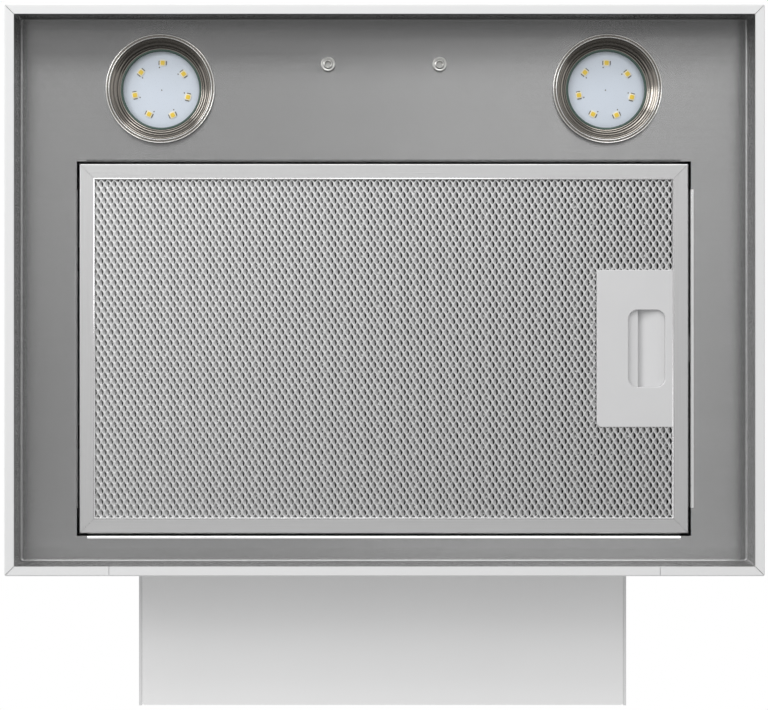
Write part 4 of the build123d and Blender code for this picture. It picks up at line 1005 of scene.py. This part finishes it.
def light_chips(side, x, y):
    """Cream bodies, yellow fillings, dark feet and test points of one lamp."""
    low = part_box(f"lamp_board_{side}")[0].z
    angles = chip_start + chip_turn * np.arange(chip_count)
    out = (chip_ring_r, 0)
    bodies = pads(x, y, out, body_size, low, body_height, 0.35, angles)
    fills = pads(x, y, out, fill_size, low - body_height, fill_height, 0.45, angles)
    feet = []
    for end in (-foot_off, foot_off):
        feet += pads(x, y, (chip_ring_r, end), foot_size, low, foot_height, 0.4, angles)
    feet += pads(x, y, dot_place, dot_size, low, dot_height, 1.0, angles)
    feet += pads(x, y, (0, 0), dot_size, low, dot_height, 1.0, [0])
    return joined(bodies), joined(fills), joined(feet)


print("chips on a lamp:", chip_count, "turn between them:", round(chip_turn, 2))

# %% [markdown]
# ## Putting both lamps together
#
# The left and right lamps are the same, so one loop makes both from the middle of each CAD ring. The loop
# hides each CAD piece that new pieces stand in for, and each new piece takes a slot's finish or a variant.

# %% Both lamps
for side in ("left", "right"):
    ring_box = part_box(f"lamp_ring_{side}")
    at = ((ring_box[0].x + ring_box[1].x) / 2, (ring_box[0].y + ring_box[1].y) / 2)
    bead = new_piece(f"lamp_bead_{side}", *lamp_bead(side, *at), "polished_ring", "hood", 50)
    slope = new_piece(f"lamp_slope_{side}", *lamp_slope(side, *at), "polished_ring", "hood", 40, "trim_slope")
    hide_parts(f"lamp_ring_{side}")
    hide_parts(f"lamp_ring_{side}")
    glass = new_piece(f"lamp_glass_{side}", *lamp_glass(side, *at), "lamp_glass", "hood", 40)
    edge = new_piece(f"glass_edge_{side}", *glass_edge(side, *at), "lamp_glass", "hood", 60, "glass_edge")
    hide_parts(f"lamp_lens_{side}")
    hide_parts(f"lamp_lens_{side}")
    board = new_piece(f"board_face_{side}", *lamp_board_face(side, *at), "lamp_board_white", "hood", 40)
    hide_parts(f"lamp_board_{side}")
    bodies, fills, feet = light_chips(side, *at)
    body = new_piece(f"chip_bodies_{side}", *bodies, "white_plastic", "hood", 40, "chip_body")
    fill = new_piece(f"chip_fills_{side}", *fills, "led_yellow", "hood", 40)
    foot = new_piece(f"chip_feet_{side}", *feet, "grey_plastic", "hood", 40, "chip_mark")
    for piece in (body, fill, foot):
        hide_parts(f"led_chips_{side}")
    print("lamp", side, "at", [round(v, 4) for v in at])

# %% [markdown]
# ## The two rivets
#
# The control housing hangs on two blind rivets. Such a rivet has a flat flange with a rounded edge, a raised
# collar where its mandrel was pulled, and a hole with the broken mandrel deep inside. Seen from below it is
# two bright rings round a dark spot, which a plain dome would not give.

# %% Rivets
rivet_low, rivet_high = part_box("panel_rivets")
rivet_r = 4.85 * mm
shank_r = 2.4 * mm
tail_r = 3.4 * mm
bore_depth = 2.6 * mm
rivet_x = rivet_high.x - rivet_r
rivet_y = (rivet_low.y + rivet_high.y) / 2


def rivet(x, y):
    """Tail, shank, flange, valley, collar and bore of one rivet, from the axis round to the axis."""
    head, top = rivet_low.z, rivet_high.z
    tail_low = top - 2.5 * mm
    tail = [(0, top), (2.8 * mm, top), (tail_r, top - 0.6 * mm), (tail_r, tail_low), (shank_r, tail_low)]
    shank = [(shank_r, panel_z), (rivet_r - 0.2 * mm, panel_z)]
    flange = arc((rivet_r - 0.5 * mm, head + 0.85 * mm), 0.5 * mm, 40, -100, 9)
    valley = [(3.45 * mm, head + 0.62 * mm)]
    collar = arc((2.45 * mm, head + 0.6 * mm), 0.6 * mm, -30, -160, 9)
    bore = [(1.75 * mm, head + 0.8 * mm), (1.7 * mm, head + bore_depth), (0, head + bore_depth)]
    return turned_solid(np.vstack([tail, shank, flange, valley, collar, bore]), (x, y), 48)


rivet_points, rivet_faces = joined([rivet(-rivet_x, rivet_y), rivet(rivet_x, rivet_y)])
rivets = new_piece("rivets", rivet_points, rivet_faces, "zinc_steel", "hood", 50)
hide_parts("panel_rivets")
print("rivets at", round(rivet_x, 4), round(rivet_y, 4))
